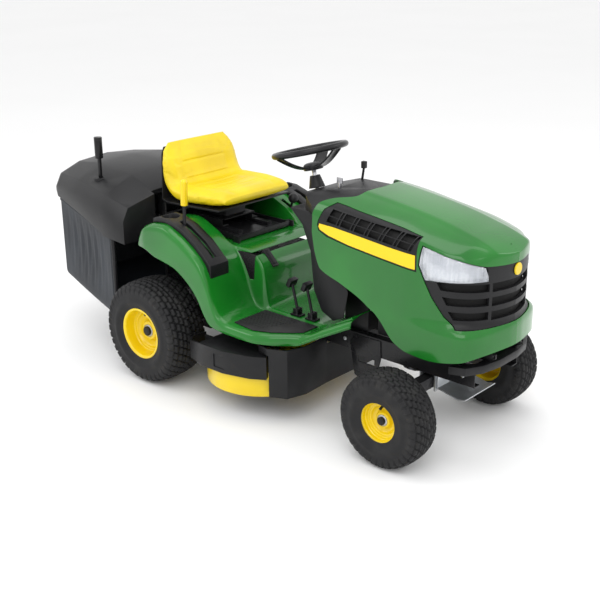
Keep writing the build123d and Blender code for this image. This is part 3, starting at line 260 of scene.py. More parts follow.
# ---- mesh tools
def ease(knotX, knotY, x):
    # smooth curve through the knots that never overshoots between them
    kx = np.asarray(knotX, float)
    ky = np.asarray(knotY, float)
    slope = np.diff(ky) / np.diff(kx)
    lean = np.zeros_like(ky)
    both = slope[:-1] * slope[1:] > 0
    lean[1:-1][both] = 2 * slope[:-1][both] * slope[1:][both] / (slope[:-1][both] + slope[1:][both])
    lean[0] = slope[0]
    lean[-1] = slope[-1]
    at = np.clip(np.searchsorted(kx, x, side="right") - 1, 0, len(kx) - 2)
    span = kx[at + 1] - kx[at]
    t = np.clip((x - kx[at]) / span, 0, 1)
    return ((2 * t ** 3 - 3 * t ** 2 + 1) * ky[at] + (t ** 3 - 2 * t ** 2 + t) * span * lean[at]
            + (3 * t ** 2 - 2 * t ** 3) * ky[at + 1] + (t ** 3 - t ** 2) * span * lean[at + 1])


def path(points, count):
    # evenly spaced points along a rounded line through the given ones
    points = np.asarray(points, float)
    reach = np.concatenate([[0], np.cumsum(np.linalg.norm(np.diff(points, axis=0), axis=1))])
    fine = np.linspace(0, reach[-1], count)
    return np.stack([ease(reach, points[:, axis], fine) for axis in range(points.shape[1])], axis=1)


def soften(values, times, axis=0):
    # repeated quarter-half-quarter averaging that keeps both ends
    values = np.moveaxis(np.array(values, float), axis, 0)
    for turn in range(times):
        values[1:-1] = 0.25 * values[:-2] + 0.5 * values[1:-1] + 0.25 * values[2:]
    return np.moveaxis(values, 0, axis)


def surface(name, grid, paint, closeU=False, closeV=False, caps=False):
    # grid is rows by columns by xyz
    rows, columns = grid.shape[:2]
    u = np.arange(rows if closeU else rows - 1)
    v = np.arange(columns if closeV else columns - 1)
    nextU = (u + 1) % rows
    nextV = (v + 1) % columns
    quads = np.stack([u[:, None] * columns + v, nextU[:, None] * columns + v,
                      nextU[:, None] * columns + nextV, u[:, None] * columns + nextV], axis=-1).reshape(-1, 4)
    mesh = bpy.data.meshes.new(name)
    mesh.from_pydata(grid.reshape(-1, 3).tolist(), [], quads.tolist())
    return finishMesh(name, mesh, paint, caps)


def finishMesh(name, mesh, paint, caps=True):
    work = bmesh.new()
    work.from_mesh(mesh)
    bmesh.ops.remove_doubles(work, verts=work.verts, dist=0.00002)
    if caps:
        rim = [edge for edge in work.edges if edge.is_boundary]
        bmesh.ops.holes_fill(work, edges=rim, sides=0)
    bmesh.ops.recalc_face_normals(work, faces=work.faces)
    for face in work.faces:
        face.smooth = True
    work.to_mesh(mesh)
    work.free()
    made = bpy.data.objects.new(name, mesh)
    bpy.context.scene.collection.objects.link(made)
    mesh.materials.append(paints[paint])
    return made


def applyAll(made):
    graph = bpy.context.evaluated_depsgraph_get()
    mesh = bpy.data.meshes.new_from_object(made.evaluated_get(graph))
    made.modifiers.clear()
    made.data = mesh
    return made


def thicken(made, depth):
    solid = made.modifiers.new("thickness", "SOLIDIFY")
    solid.thickness = depth
    solid.offset = -1
    return applyAll(made)


def combine(made, tool, kind):
    cut = made.modifiers.new("cut", "BOOLEAN")
    cut.object = tool
    cut.operation = kind
    cut.solver = "EXACT"
    applyAll(made)
    bpy.data.objects.remove(tool)
    return made


def insideOutline(outline, x, z):
    # even-odd rule: count the outline edges to the right of each point
    points = np.asarray(outline)
    following = np.roll(points, -1, axis=0)
    crossing = np.zeros(len(x), bool)
    for (x0, z0), (x1, z1) in zip(points, following):
        if z0 != z1:
            crossing ^= ((z0 > z) != (z1 > z)) & (x < (x1 - x0) * (z - z0) / (z1 - z0) + x0)
    return crossing


def clip(made, outline, yLow, yHigh, keepInside):
    # cuts an open sheet along an (x, z) outline carried from yLow to yHigh
    points = np.array(outline, float) + (axleX, 0)
    low = points.min(axis=0) - 0.006
    high = points.max(axis=0) + 0.006
    planes = [((a[0], 0, a[1]), (b[1] - a[1], 0, a[0] - b[0])) for a,
              b in zip(points, np.roll(points, -1, axis=0))]
    planes += [((0, yLow, 0), (0, 1, 0)), ((0, yHigh, 0), (0, 1, 0))]
    work = bmesh.new()
    work.from_mesh(made.data)
    for place, normal in planes:
        near = []
        for face in work.faces:
            at = face.calc_center_median()
            if low[0] < at.x < high[0] and low[1] < at.z < high[1] and yLow - 0.01 < at.y < yHigh + 0.01:
                near.append(face)
        around = {edge for face in near for edge in face.edges}
        around |= {vert for face in near for vert in face.verts}
        bmesh.ops.bisect_plane(work, geom=near + list(around), dist=0.000001, plane_co=place,
                               plane_no=Vector(normal).normalized())
    centres = np.array([face.calc_center_median()[:] for face in work.faces])
    inside = insideOutline(points, centres[:, 0], centres[:, 2])
    inside &= (centres[:, 1] > yLow) & (centres[:, 1] < yHigh)
    work.faces.ensure_lookup_table()
    drop = [work.faces[int(index)] for index in np.flatnonzero(inside != keepInside)]
    bmesh.ops.delete(work, geom=drop, context="FACES")
    work.to_mesh(made.data)
    work.free()
    return made


def bevel(made, width, segments=2, angle=35):
    edge = made.modifiers.new("edges", "BEVEL")
    edge.width = width
    edge.segments = segments
    edge.limit_method = "ANGLE"
    edge.angle_limit = math.radians(angle)
    edge.harden_normals = True
    return applyAll(made)


def prism(outline, yLow, yHigh):
    # (x, z) outline in rear-axle metres carried along y
    points = [(x + axleX, y, z) for y in (yLow, yHigh) for x, z in outline]
    count = len(outline)
    faces = [list(range(count)), list(range(count, 2 * count))]
    faces += [[i, (i + 1) % count, (i + 1) % count + count, i + count] for i in range(count)]
    mesh = bpy.data.meshes.new("tool")
    mesh.from_pydata(points, [], faces)
    return finishMesh("tool", mesh, "black")


def tube(name, points, radius, paint, sides=16, count=60):
    line = path(points, count)
    ahead = np.gradient(line, axis=0)
    ahead /= np.linalg.norm(ahead, axis=1)[:, None]
    side = np.cross(ahead, np.array([0.31, 0.17, 0.93]))
    side /= np.linalg.norm(side, axis=1)[:, None]
    up = np.cross(side, ahead)
    angle = np.linspace(0, 2 * np.pi, sides, endpoint=False)
    ring = side[:, None] * np.cos(angle)[:, None] + up[:, None] * np.sin(angle)[:, None]
    return surface(name, line[:, None] + ring * radius, paint, closeV=True, caps=True)


def turned(name, profile, centre, axis, paint, around=96, closed=False, caps=True):
    # (radius, height) profile turned round an axis through centre
    profile = np.asarray(profile, float)
    angle = np.linspace(0, 2 * np.pi, around, endpoint=False)
    axis = np.asarray(axis, float) / np.linalg.norm(axis)
    side = np.cross(axis, np.array([0.0, 0.0, 1.0]) if abs(axis[2]) < 0.9 else np.array([1.0, 0.0, 0.0]))
    side /= np.linalg.norm(side)
    other = np.cross(axis, side)
    ring = side * np.cos(angle)[:, None] + other * np.sin(angle)[:, None]
    grid = np.asarray(centre) + profile[None, :, 0, None] * ring[:, None] + profile[None, :, 1, None] * axis
    return surface(name, grid, paint, closeU=True, closeV=closed, caps=caps and not closed)


def placed(made, node, *replaced):
    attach(made, bodyOf[node])
    if replaced:
        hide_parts(*replaced)
    return made


def softened(node, paint, width=0.0025):
    # the exact shape with moulded edges
    mesh = frame["nodes"][node].data.copy()
    mesh.materials.clear()
    work = bmesh.new()
    work.from_mesh(mesh)
    bmesh.ops.remove_doubles(work, verts=work.verts, dist=0.00002)
    bmesh.ops.dissolve_limit(work, angle_limit=0.02, verts=work.verts, edges=work.edges)
    for face in work.faces:
        face.smooth = True
    work.to_mesh(mesh)
    work.free()
    mesh.materials.append(paints[paint])
    made = bpy.data.objects.new(node + "Shown", mesh)
    bpy.context.scene.collection.objects.link(made)
    if width:
        bevel(made, width)
    return placed(made, node, node)


def joined(name, pieces):
    work = bmesh.new()
    paintsUsed = []
    for piece in pieces:
        own = piece.data.materials[0]
        if own not in paintsUsed:
            paintsUsed.append(own)
        start = len(work.faces)
        work.from_mesh(piece.data)
        work.faces.ensure_lookup_table()
        for face in work.faces[start:]:
            face.material_index = paintsUsed.index(own)
    mesh = bpy.data.meshes.new(name)
    work.to_mesh(mesh)
    work.free()
    for own in paintsUsed:
        mesh.materials.append(own)
    for piece in pieces:
        bpy.data.objects.remove(piece)
    made = bpy.data.objects.new(name, mesh)
    bpy.context.scene.collection.objects.link(made)
    return made


# ---- tyres
tyreLook = {
    "around": 660, "across": 84, "groove": 0.0085, "rear": {"blocks": 40, "crown": 0.006},
    "front": {"blocks": 34, "crown": 0.005}, "lugDepth": 0.0022,
}


def tyre(node, look):
    low, high = (np.array(corner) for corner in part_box(node))
    centre = (low + high) / 2
    radius = (high[2] - low[2]) / 2
    half = (high[1] - low[1]) / 2
    rimLow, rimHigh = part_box(node.replace("tyre", "rim" if "front" in node else "rim_and_shaft"))
    bead = (rimHigh[2] - rimLow[2]) / 2 - 0.012
    # across profile: bead, bulging side wall, shoulder, crowned tread
    knots = [(-0.80, bead), (-0.86, bead + 0.016), (-0.985, bead + (radius - bead) * 0.42),
             (-0.955, radius - 0.034), (-0.80, radius - 0.010), (-0.45, radius - 0.002), (0, radius)]
    knots += [(-y, r) for y, r in reversed(knots[:-1])]
    line = path([(y * half, r) for y, r in knots], tyreLook["across"])
    across = line[:, 0]
    theta = np.linspace(0, 2 * np.pi, tyreLook["around"], endpoint=False)
    place = np.abs(across) / half
    sign = np.sign(across)
    # rows of staggered wavy blocks: the phase of each row is shifted by a third of a block
    rows = [(-0.01, 0.13, 0.0), (0.17, 0.33, 0.36), (0.37, 0.55, 0.72), (0.59, 0.79, 1.08),
            (0.83, 0.97, 1.44)]
    turn = theta[:, None] * look["blocks"] / (2 * np.pi)
    raised = np.zeros((len(theta), len(across)))
    for start, end, phase in rows:
        edge = np.clip((place - start) / 0.022, 0, 1) * np.clip((end - place) / 0.022, 0, 1)
        sway = 0.16 * np.sin(np.pi * (place - start) / (end - start)) * sign
        local = (turn + phase + sway + 0.5 * (sign > 0)) % 1.0
        gap = 0.11 if start < 0.8 else 0.25
        block = np.clip((local - gap) / 0.07, 0, 1) * np.clip((1.0 - local) / 0.07, 0, 1)
        raised = np.maximum(raised, edge * block)
    wall = place > 0.81
    depth = np.where(wall, tyreLook["lugDepth"] * 2.2, tyreLook["groove"])
    drop = (1 - raised) * depth * np.clip((line[:, 1] - bead - 0.04) / 0.02, 0, 1)
    slope = np.gradient(line, axis=0)
    slope /= np.linalg.norm(slope, axis=1)[:, None]
    inward = np.stack([slope[:, 1], -slope[:, 0]], axis=1)
    y = across[None, :] + inward[None, :, 0] * drop
    r = line[None, :, 1] + inward[None, :, 1] * drop
    # a thin rim of moulding near the bead
    r = r + 0.0012 * np.exp(-((line[None, :, 1] - bead - 0.026) / 0.0022) ** 2)
    grid = np.stack([centre[0] + r * np.sin(theta)[:, None], centre[1] + y,
                     centre[2] + r * np.cos(theta)[:, None]], axis=-1)
    made = surface(node + "Shown", grid, "tyre", closeU=True)
    return placed(made, node, node)


for end in ("rear", "front"):
    for side in ("right", "left"):
        tyre(end + "_tyre_" + side, tyreLook[end])
print("tyres made")


# ---- wheel rims
rimLook = {"rear": {"hub": 0.042, "dish": 0.030, "cap": 0.021, "shaft": 0.013},
           "front": {"hub": 0.030, "dish": 0.018, "cap": 0.016, "shaft": 0.020}}


def wheelRim(node, look, side):
    low, high = (np.array(corner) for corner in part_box(node))
    centre = middle(node.replace("rim_and_shaft", "tyre").replace("rim", "tyre"))
    flange = (high[2] - low[2]) / 2
    outer = abs((high if side > 0 else low)[1] - centre[1])
    dish = look["dish"]
    hub = look["hub"]
    # outer lip, ring bead, dished plate and hub boss, then back along the inside to the other lip
    face = [(flange - 0.004, outer - 0.005), (flange, outer - 0.002), (flange - 0.002, outer),
            (flange - 0.008, outer - 0.0005), (flange - 0.013, outer - 0.006),
            (flange - 0.0150, outer - 0.017), (flange - 0.017, dish + 0.020),
            (flange - 0.022, dish + 0.011), (flange - 0.031, dish + 0.010),
            (flange - 0.037, dish + 0.002), (flange - 0.042, dish - 0.002), (hub + 0.010, dish - 0.004),
            (hub + 0.004, dish + 0.001), (hub, dish + 0.010), (hub - 0.004, dish + 0.013),
            (look["cap"] + 0.003, dish + 0.013), (0.0005, dish + 0.013)]
    back = [(0.0005, dish - 0.004), (hub + 0.008, dish - 0.008), (flange - 0.040, dish - 0.006),
            (flange - 0.028, dish - 0.002), (flange - 0.021, dish - 0.012),
            (flange - 0.021, 0.010 - outer), (flange - 0.012, 0.003 - outer), (flange - 0.002, -outer),
            (flange, 0.002 - outer), (flange - 0.006, 0.004 - outer), (flange - 0.013, 0.012 - outer),
            (flange - 0.017, 0.020 - outer), (flange - 0.018, 0.0), (flange - 0.014, outer - 0.016)]
    fine = np.vstack([path(face, 90), path(back, 60)])
    plate = turned(node + "Plate", fine, centre, (0, side, 0), "yellow", closed=True)
    reach = abs((low if side > 0 else high)[1] - centre[1])
    axleLine = [(0.0005, dish + 0.005), (look["shaft"], dish + 0.004), (look["shaft"], 0.001 - reach),
                (look["shaft"] - 0.001, -reach), (0.0005, -reach)]
    shaft = turned(node + "Shaft", axleLine, centre, (0, side, 0), "steel", 48)
    boss = [(look["cap"], dish + 0.012), (look["cap"], dish + 0.024), (look["cap"] - 0.002, dish + 0.027),
            (look["cap"] - 0.006, dish + 0.028), (0.006, dish + 0.029), (0.0005, dish + 0.029)]
    cap = turned("cap", path(boss, 40), centre, (0, side, 0), "black", 48)
    washer = [(look["cap"] + 0.007, dish + 0.0125), (look["cap"] + 0.007, dish + 0.016),
              (look["cap"] - 0.001, dish + 0.0165)]
    ring = turned("washer", washer, centre, (0, side, 0), "steel", 48)
    foot = centre + np.array([0.0, side * (dish + 0.008), flange - 0.03])
    tip = foot + np.array([0.0, side * 0.022, -0.008])
    stem = tube("valve", [foot, (foot + tip) / 2, tip], 0.0052, "black", 12, 12)
    return placed(joined(node + "Shown", [plate, shaft, cap, ring, stem]), node, node)


for end in ("rear", "front"):
    for name, side in (("right", -1), ("left", 1)):
        node = end + ("_rim_and_shaft_" if end == "rear" else "_rim_") + name
        wheelRim(node, rimLook[end], side)
print("rims made")


# ---- hood: one surface from the lower edge up the wall, over the shoulder to the middle line
hoodLook = {
    "ridge": [(0.70, 0.966), (0.78, 0.962), (0.952, 0.946), (1.18, 0.916), (1.30, 0.894), (1.40, 0.869),
              (1.44, 0.858), (1.50, 0.836), (1.556, 0.806), (1.60, 0.78)],
    "shoulder": [(0.70, 0.914), (0.78, 0.908), (0.952, 0.898), (1.18, 0.862), (1.30, 0.843),
                 (1.40, 0.815), (1.44, 0.798), (1.50, 0.735), (1.60, 0.650)],
    "upperPlan": [(0.797, 0.262), (1.10, 0.262), (1.23, 0.2615), (1.31, 0.252), (1.40, 0.236),
                  (1.446, 0.216), (1.484, 0.188), (1.516, 0.146), (1.541, 0.084), (1.552, 0.038),
                  (1.556, 0.0)],
    "lowerPlan": [(0.797, 0.262), (1.10, 0.262), (1.26, 0.262), (1.38, 0.2605), (1.452, 0.252),
                  (1.488, 0.238), (1.516, 0.200), (1.540, 0.136), (1.556, 0.070), (1.563, 0.030),
                  (1.565, 0.0)],
    "edge": [(0.797, 0.790), (0.815, 0.710), (0.843, 0.653), (0.955, 0.613), (1.067, 0.566),
             (1.130, 0.516), (1.202, 0.441), (1.262, 0.418), (1.348, 0.412), (1.480, 0.430),
             (1.530, 0.446), (1.570, 0.455)],
    "rearCurve": ([0.0, 0.218, 0.427, 1.0], [0.0, 0.346, 0.869, 1.0]),
    "noseHalf": 0.3, "panelReach": (0.19, 0.31), "lampReach": (0.138, 0.302), "lensReach": (0.139, 0.301),
    "skin": 0.0035, "spine": (0.950, 1.520), "chinTop": 0.545, "around": 300, "wall": 70, "roof": 60,
}


def knots(name):
    return np.array(hoodLook[name])


def roofHeight(x, y):
    ridge = ease(*knots("ridge").T, x)
    shoulder = ease(*knots("shoulder").T, x)
    side = np.abs(y)
    # centre panel, a sharp crease near 0.115, then falling to the shoulder and rounding over
    crown = ridge - 0.003 * (side / 0.105) ** 2
    flank = ridge - 0.010 + (shoulder - ridge + 0.010) * np.clip((side - 0.122) / (0.238 - 0.122), 0,
                                                                 1) ** 1.25
    flank = flank - np.clip(side - 0.238, 0, 1) * 1.7
    mix = np.clip((side - 0.105) / 0.017, 0, 1)
    return crown * (1 - mix) + flank * mix


def hoodGrid(inset):
    count = hoodLook["around"]
    upper = soften(path(hoodLook["upperPlan"], count), 6)
    lower = soften(path(hoodLook["lowerPlan"], count), 6)
    rearEnd, noseEnd = hoodLook["spine"]
    spineX = rearEnd + (noseEnd - rearEnd) * np.linspace(0, 1, count) ** 1.15
    rise = np.linspace(0, 1, hoodLook["wall"])
    across = np.linspace(0, 1, hoodLook["roof"] + 1)[1:]
    grid = []
    bend = ease(*hoodLook["rearCurve"], across)
    for index in range(count):
        bottom = ease(*knots("edge").T, lower[index, 0])
        top = roofHeight(upper[index, 0], upper[index, 1])
        z = bottom + (top - bottom) * rise
        share = np.clip((hoodLook["chinTop"] + 0.012 - z) / 0.024, 0, 1)
        share = share * share * (3 - 2 * share)
        plan = upper[index] * (1 - share[:, None]) + lower[index] * share[:, None]
        # walls lean in a little towards the shoulder
        lean = 0.010 * np.clip((z - 0.62) / 0.3, 0, 1) ** 2
        wall = np.column_stack([plan[:, 0], np.maximum(plan[:, 1] - lean, 0), z])
        start = wall[-1]
        shape = bend * max(0.0, 1 - index / (count * 0.28)) + across * min(1.0, index / (count * 0.28))
        x = start[0] + (spineX[index] - start[0]) * shape
        y = start[1] * (1 - across)
        roof = np.column_stack([x, y, roofHeight(x, y)])
        grid.append(np.vstack([wall, roof]))
    grid = soften(np.array(grid), 7, axis=1)
    if inset:
        u = np.gradient(grid, axis=0)
        v = np.gradient(grid, axis=1)
        normal = np.cross(u, v)
        normal /= np.maximum(np.linalg.norm(normal, axis=2), 1e-9)[..., None]
        normal[..., 1] = np.where(grid[..., 1] < 1e-5, 0, normal[..., 1])
        inwardSign = -1 if normal[count // 4, 20, 1] > 0 else 1
        grid = grid + normal * inset * inwardSign
        grid[..., 1] = np.maximum(grid[..., 1], 0)
    return grid


def hoodSheet(name, paint, inset):
    half = hoodGrid(inset)
    other = half[::-1].copy()
    other[..., 1] *= -1
    # the nose column lies on the middle line, so both halves meet there and along the ridge
    grid = np.concatenate([half, other[1:]], axis=0)
    grid[..., 0] += axleX
    made = surface(name, grid, paint)
    work = bmesh.new()
    work.from_mesh(made.data)
    bmesh.ops.remove_doubles(work, verts=work.verts, dist=0.0004)
    bmesh.ops.recalc_face_normals(work, faces=work.faces)
    roof = max(work.faces, key=lambda face: face.calc_center_median().z)
    if roof.normal.z < 0:
        bmesh.ops.reverse_faces(work, faces=work.faces)
    work.to_mesh(made.data)
    work.free()
    return made


noseOpening = [(1.292, 0.762), (1.302, 0.834), (1.44, 0.800), (1.514, 0.776), (1.62, 0.758),
               (1.62, 0.5455), (1.449, 0.5455), (1.400, 0.584), (1.350, 0.650), (1.318, 0.708)]
lampOutline = [(1.296, 0.764), (1.305, 0.831), (1.44, 0.797), (1.512, 0.772), (1.523, 0.720), (1.322, 0.710)]
panelOutline = [(0.826, 0.842), (0.822, 0.825), (0.829, 0.803), (0.870, 0.785), (0.980, 0.767),
                (1.120, 0.751), (1.288, 0.734), (1.286, 0.797), (1.286, 0.857), (1.200, 0.872),
                (1.060, 0.893), (0.940, 0.909), (0.885, 0.914), (0.848, 0.888)]
stripeOutline = [(0.832, 0.830), (0.829, 0.818), (0.836, 0.807), (0.880, 0.791), (0.980, 0.773),
                 (1.120, 0.757), (1.281, 0.741), (1.279, 0.794), (1.160, 0.803), (1.040, 0.815),
                 (0.900, 0.828)]


def grown(outline, amount):
    points = np.array(outline)
    centre = points.mean(axis=0)
    size = points.max(axis=0) - points.min(axis=0)
    return ((points - centre) * (1 + 2 * amount / size) + centre).tolist()


def span(side, near, far):
    return (near, far) if side > 0 else (-far, -near)


hood = hoodSheet("hoodShell", "green", 0.0)
clip(hood, noseOpening, -hoodLook["noseHalf"], hoodLook["noseHalf"], False)
for side in (-1, 1):
    clip(hood, panelOutline, *span(side, *hoodLook["panelReach"]), False)
placed(bevel(thicken(hood, hoodLook["skin"]), 0.0008, 2, 60), "hood", "hood")
print("hood made")

stripes = []
for side in (-1, 1):
    band = hoodSheet("stripe" + str(side), "decal", 0.0008)
    clip(band, stripeOutline, *span(side, 0.22, 0.31), True)
    stripes.append(thicken(band, 0.0008))
noseX = float(np.array(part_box("hood_decals"))[1][0])
badgeLook = {"height": 0.742, "setBack": 0.0105}
badgeProfile = [(0.0235, 0.0), (0.0235, 0.004), (0.021, 0.0062), (0.017, 0.0058), (0.0005, 0.0066)]
badge = turned("badge", badgeProfile, (noseX - badgeLook["setBack"], 0, badgeLook["height"]), (1, 0, 0),
               "yellow", 48)
placed(joined("hoodStripes", stripes + [badge]), "hood_decals", "hood_decals")

grilleLook = {"levels": [0.572, 0.625, 0.678], "slot": 0.034, "frontHalf": 0.118, "sideFrom": 0.130}
grille = clip(hoodSheet("grille", "black", 0.004), grown(noseOpening, -0.0006),
              -hoodLook["noseHalf"], hoodLook["noseHalf"], True)
for side in (-1, 1):
    clip(grille, lampOutline, *span(side, *hoodLook["lampReach"]), False)
for index, z in enumerate(grilleLook["levels"]):
    slot = [(1.44, z), (1.7, z - 0.004), (1.7, z + 0.029), (1.44, z + grilleLook["slot"])]
    clip(grille, slot, -grilleLook["frontHalf"], grilleLook["frontHalf"], False)
    for side in (-1, 1):
        start = 1.430 - index * 0.024
        slot = [(start, z + 0.004), (1.7, z), (1.7, z + 0.029), (start - 0.018, z + 0.034)]
        clip(grille, slot, *span(side, grilleLook["sideFrom"], 0.27), False)
thicken(grille, 0.014)
bevel(grille, 0.0016, 2, 50)
# a near-black sheet set behind the nose opening: painted shade seen through the grille slots
paintedShadeBehindGrille = clip(hoodSheet("paintedShadeBehindGrille", "paintedShade", 0.022), grown(noseOpening, 0.004),
               -hoodLook["noseHalf"], hoodLook["noseHalf"], True)
for side in (-1, 1):
    clip(paintedShadeBehindGrille, lampOutline, *span(side, *hoodLook["lampReach"]), False)
panels = [grille, thicken(paintedShadeBehindGrille, 0.003)]
ventLook = {"columns": 6, "rows": 2, "pitch": 0.0665, "rise": 0.0275, "lean": 0.012, "fall": 0.098,
            "tall": 0.0235, "slant": 0.010,
            "cells": ((0.0, 0.046), (0.051, 0.010)), "first": (0.866, 0.8465)}
for side in (-1, 1):
    reach = span(side, *hoodLook["panelReach"])
    panel = clip(hoodSheet("vent" + str(side), "black", 0.0022), grown(panelOutline, -0.0006), *reach, True)
    for column in range(ventLook["columns"]):
        for row in range(ventLook["rows"]):
            for start, width in ventLook["cells"]:
                x = ventLook["first"][0] + column * ventLook["pitch"] + row * ventLook["lean"] + start
                z = ventLook["first"][1] - (x - 0.83) * ventLook["fall"] + row * ventLook["rise"]
                end = x + width
                endZ = z - width * ventLook["fall"]
                tip = ventLook["slant"]
                tall = ventLook["tall"]
                cell = [(x, z), (end, endZ), (end + tip, endZ + tall), (x + tip, z + tall)]
                clip(panel, cell, *reach, False)
    panels.append(bevel(thicken(panel, 0.005), 0.0006, 1, 60))
    # a near-black sheet set behind each vent panel: painted shade seen through the vent cells
    rear = clip(hoodSheet("paintedShadeBehindVent" + str(side), "paintedShade", 0.016), grown(panelOutline, -0.004), *reach, True)
    panels.append(thicken(rear, 0.002))
placed(joined("grilleAndVents", panels), "grille_and_vents", "grille_and_vents")
print("grille made")

lamps = []
for side in (-1, 1):
    reach = span(side, *hoodLook["lensReach"])
    lens = clip(hoodSheet("lens" + str(side), "lens", 0.0006), grown(lampOutline, -0.0008), *reach, True)
    bowl = clip(hoodSheet("bowl" + str(side), "mirror", 0.020), grown(lampOutline, -0.001), *reach, True)
    lamps += [thicken(lens, 0.003), thicken(bowl, 0.003)]
placed(joined("headlightPair", lamps), "headlights", "headlights")
print("headlights made")


# ---- fender moulding, one sheet laid from side to side
fenderLook = {
    "humpTop": [(-0.038, 0.640), (-0.026, 0.672), (0.010, 0.706), (0.060, 0.723), (0.120, 0.728),
                (0.200, 0.702), (0.280, 0.656), (0.345, 0.600), (0.384, 0.530), (0.414, 0.450),
                (0.448, 0.400), (0.500, 0.384), (0.620, 0.383), (0.790, 0.383), (0.880, 0.421),
                (0.985, 0.474)],
    "saddleTop": [(-0.038, 0.620), (0.0, 0.626), (0.330, 0.626), (0.420, 0.606), (0.478, 0.553),
                  (0.496, 0.440), (0.510, 0.395), (0.620, 0.393), (0.790, 0.393), (0.985, 0.480)],
    "halfWidth": [(-0.038, 0.428), (0.02, 0.440), (0.55, 0.440), (0.62, 0.437), (0.70, 0.408),
                  (0.775, 0.352), (0.870, 0.302), (0.985, 0.250)],
    "lowEdge": [(-0.038, 0.606), (0.0, 0.607), (0.072, 0.583), (0.192, 0.557), (0.274, 0.508),
                (0.326, 0.456), (0.372, 0.380), (0.402, 0.352), (0.481, 0.342), (0.775, 0.339),
                (0.864, 0.378), (0.985, 0.436)],
    "saddleHalf": 0.205, "along": 230, "ends": (-0.038, 0.985), "thickness": 0.004,
}


def fenderCurve(name, x):
    return ease(*np.array(fenderLook[name]).T, x)


def fenderGrid():
    rear, front = fenderLook["ends"]
    grid = []
    for at in np.linspace(rear, front, fenderLook["along"]):
        half = float(fenderCurve("halfWidth", at))
        low = float(fenderCurve("lowEdge", at))
        hump = float(fenderCurve("humpTop", at))
        saddle = float(fenderCurve("saddleTop", at))
        inner = fenderLook["saddleHalf"]
        # rolled lip along the footrest edge
        rollDown = max(hump - low, 0.012)
        rim = min(0.030, rollDown * 0.8)
        points = [(half - 0.002, low), (half, low + 0.25 * rollDown), (half, hump - rim),
                  (half - 0.004, hump - rim * 0.4), (half - 0.020, hump - 0.002), (half - 0.045, hump),
                  ((half + inner) / 2, hump + 0.001), (inner + 0.035, hump),
                  (inner + 0.010, hump - 0.004 if hump > saddle else hump), (inner, (hump + saddle) / 2),
                  (inner - 0.008, saddle), (inner - 0.04, saddle), (0.08, saddle), (0.0, saddle)]
        counts = [10, 10, 8, 8, 8, 10, 10, 8, 8, 8, 8, 8, 6]
        line = [np.column_stack([np.linspace(a[0], b[0], n, endpoint=False),
                                 np.linspace(a[1], b[1], n, endpoint=False)])
                for a, b, n in zip(points, points[1:], counts)]
        half = np.vstack(line + [np.array([points[-1]])])
        grid.append(np.column_stack([np.full(len(half), at), half]))
    grid = soften(np.array(grid), 5, axis=1)
    return soften(grid, 3, axis=0)


def fenderShell():
    half = fenderGrid()
    other = half[:, ::-1].copy()
    other[..., 1] *= -1
    grid = np.concatenate([half, other[:, 1:]], axis=1)
    grid[..., 0] += axleX
    made = surface("fenderShell", grid, "green")
    top = max(made.data.polygons, key=lambda face: face.center.z)
    if top.normal.z < 0:
        made.data.flip_normals()
    thicken(made, fenderLook["thickness"])
    for side in (-1, 1):
        y = side * 0.352
        combine(made, prism([(0.15, 0.5), (0.350, 0.5), (0.350, 0.8), (0.15, 0.8)], y - 0.011, y + 0.011),
                "DIFFERENCE")
        cup = turned("tool", [(0.0005, 0.60), (0.042, 0.60), (0.042, 0.80), (0.0005, 0.80)],
                     (axleX + 0.092, y, 0), (0, 0, 1), "black", 48)
        combine(made, cup, "DIFFERENCE")
    combine(made, prism([(-0.1, 0.5), (-0.1, 0.61), (0.43, 0.61), (0.43, 0.5)], -0.21, 0.21), "DIFFERENCE")
    low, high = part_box("blade_lever")
    y = (low[1] + high[1]) / 2
    combine(made, prism([(0.172, 0.5), (0.260, 0.5), (0.260, 0.8), (0.172, 0.8)], y - 0.009, y + 0.009),
            "DIFFERENCE")
    combine(made, prism([(0.836, 0.3), (1.0, 0.3), (1.0, 0.6), (0.836, 0.6)], -0.124, 0.124), "DIFFERENCE")
    combine(made, prism([(0.62, 0.3), (0.71, 0.3), (0.71, 0.5), (0.62, 0.5)], -0.02, 0.02), "DIFFERENCE")
    return placed(made, "fender_body", "fender_body")


fenderShell()
print("fender made")


# ---- padded seat: a flat tube swept from the front lip, over the pan and up the back
seatLook = {
    "spine": [(0.262, 0.796), (0.235, 0.801), (0.150, 0.797), (0.060, 0.790), (-0.010, 0.789),
              (-0.050, 0.802), (-0.082, 0.840), (-0.098, 0.900), (-0.110, 0.960), (-0.118, 1.000)],
    "half": [(0.0, 0.196), (0.06, 0.212), (0.20, 0.222), (0.45, 0.224), (0.60, 0.218), (0.80, 0.214),
             (0.93, 0.196), (1.0, 0.166)],
    "thick": [(0.0, 0.016), (0.04, 0.026), (0.10, 0.033), (0.5, 0.034), (0.62, 0.030), (0.85, 0.026),
              (0.95, 0.020), (1.0, 0.010)],
    "bolster": 0.016, "groove": 0.0042, "along": 150, "around": 120, "frames": 14, "pressure": 3.0,
}


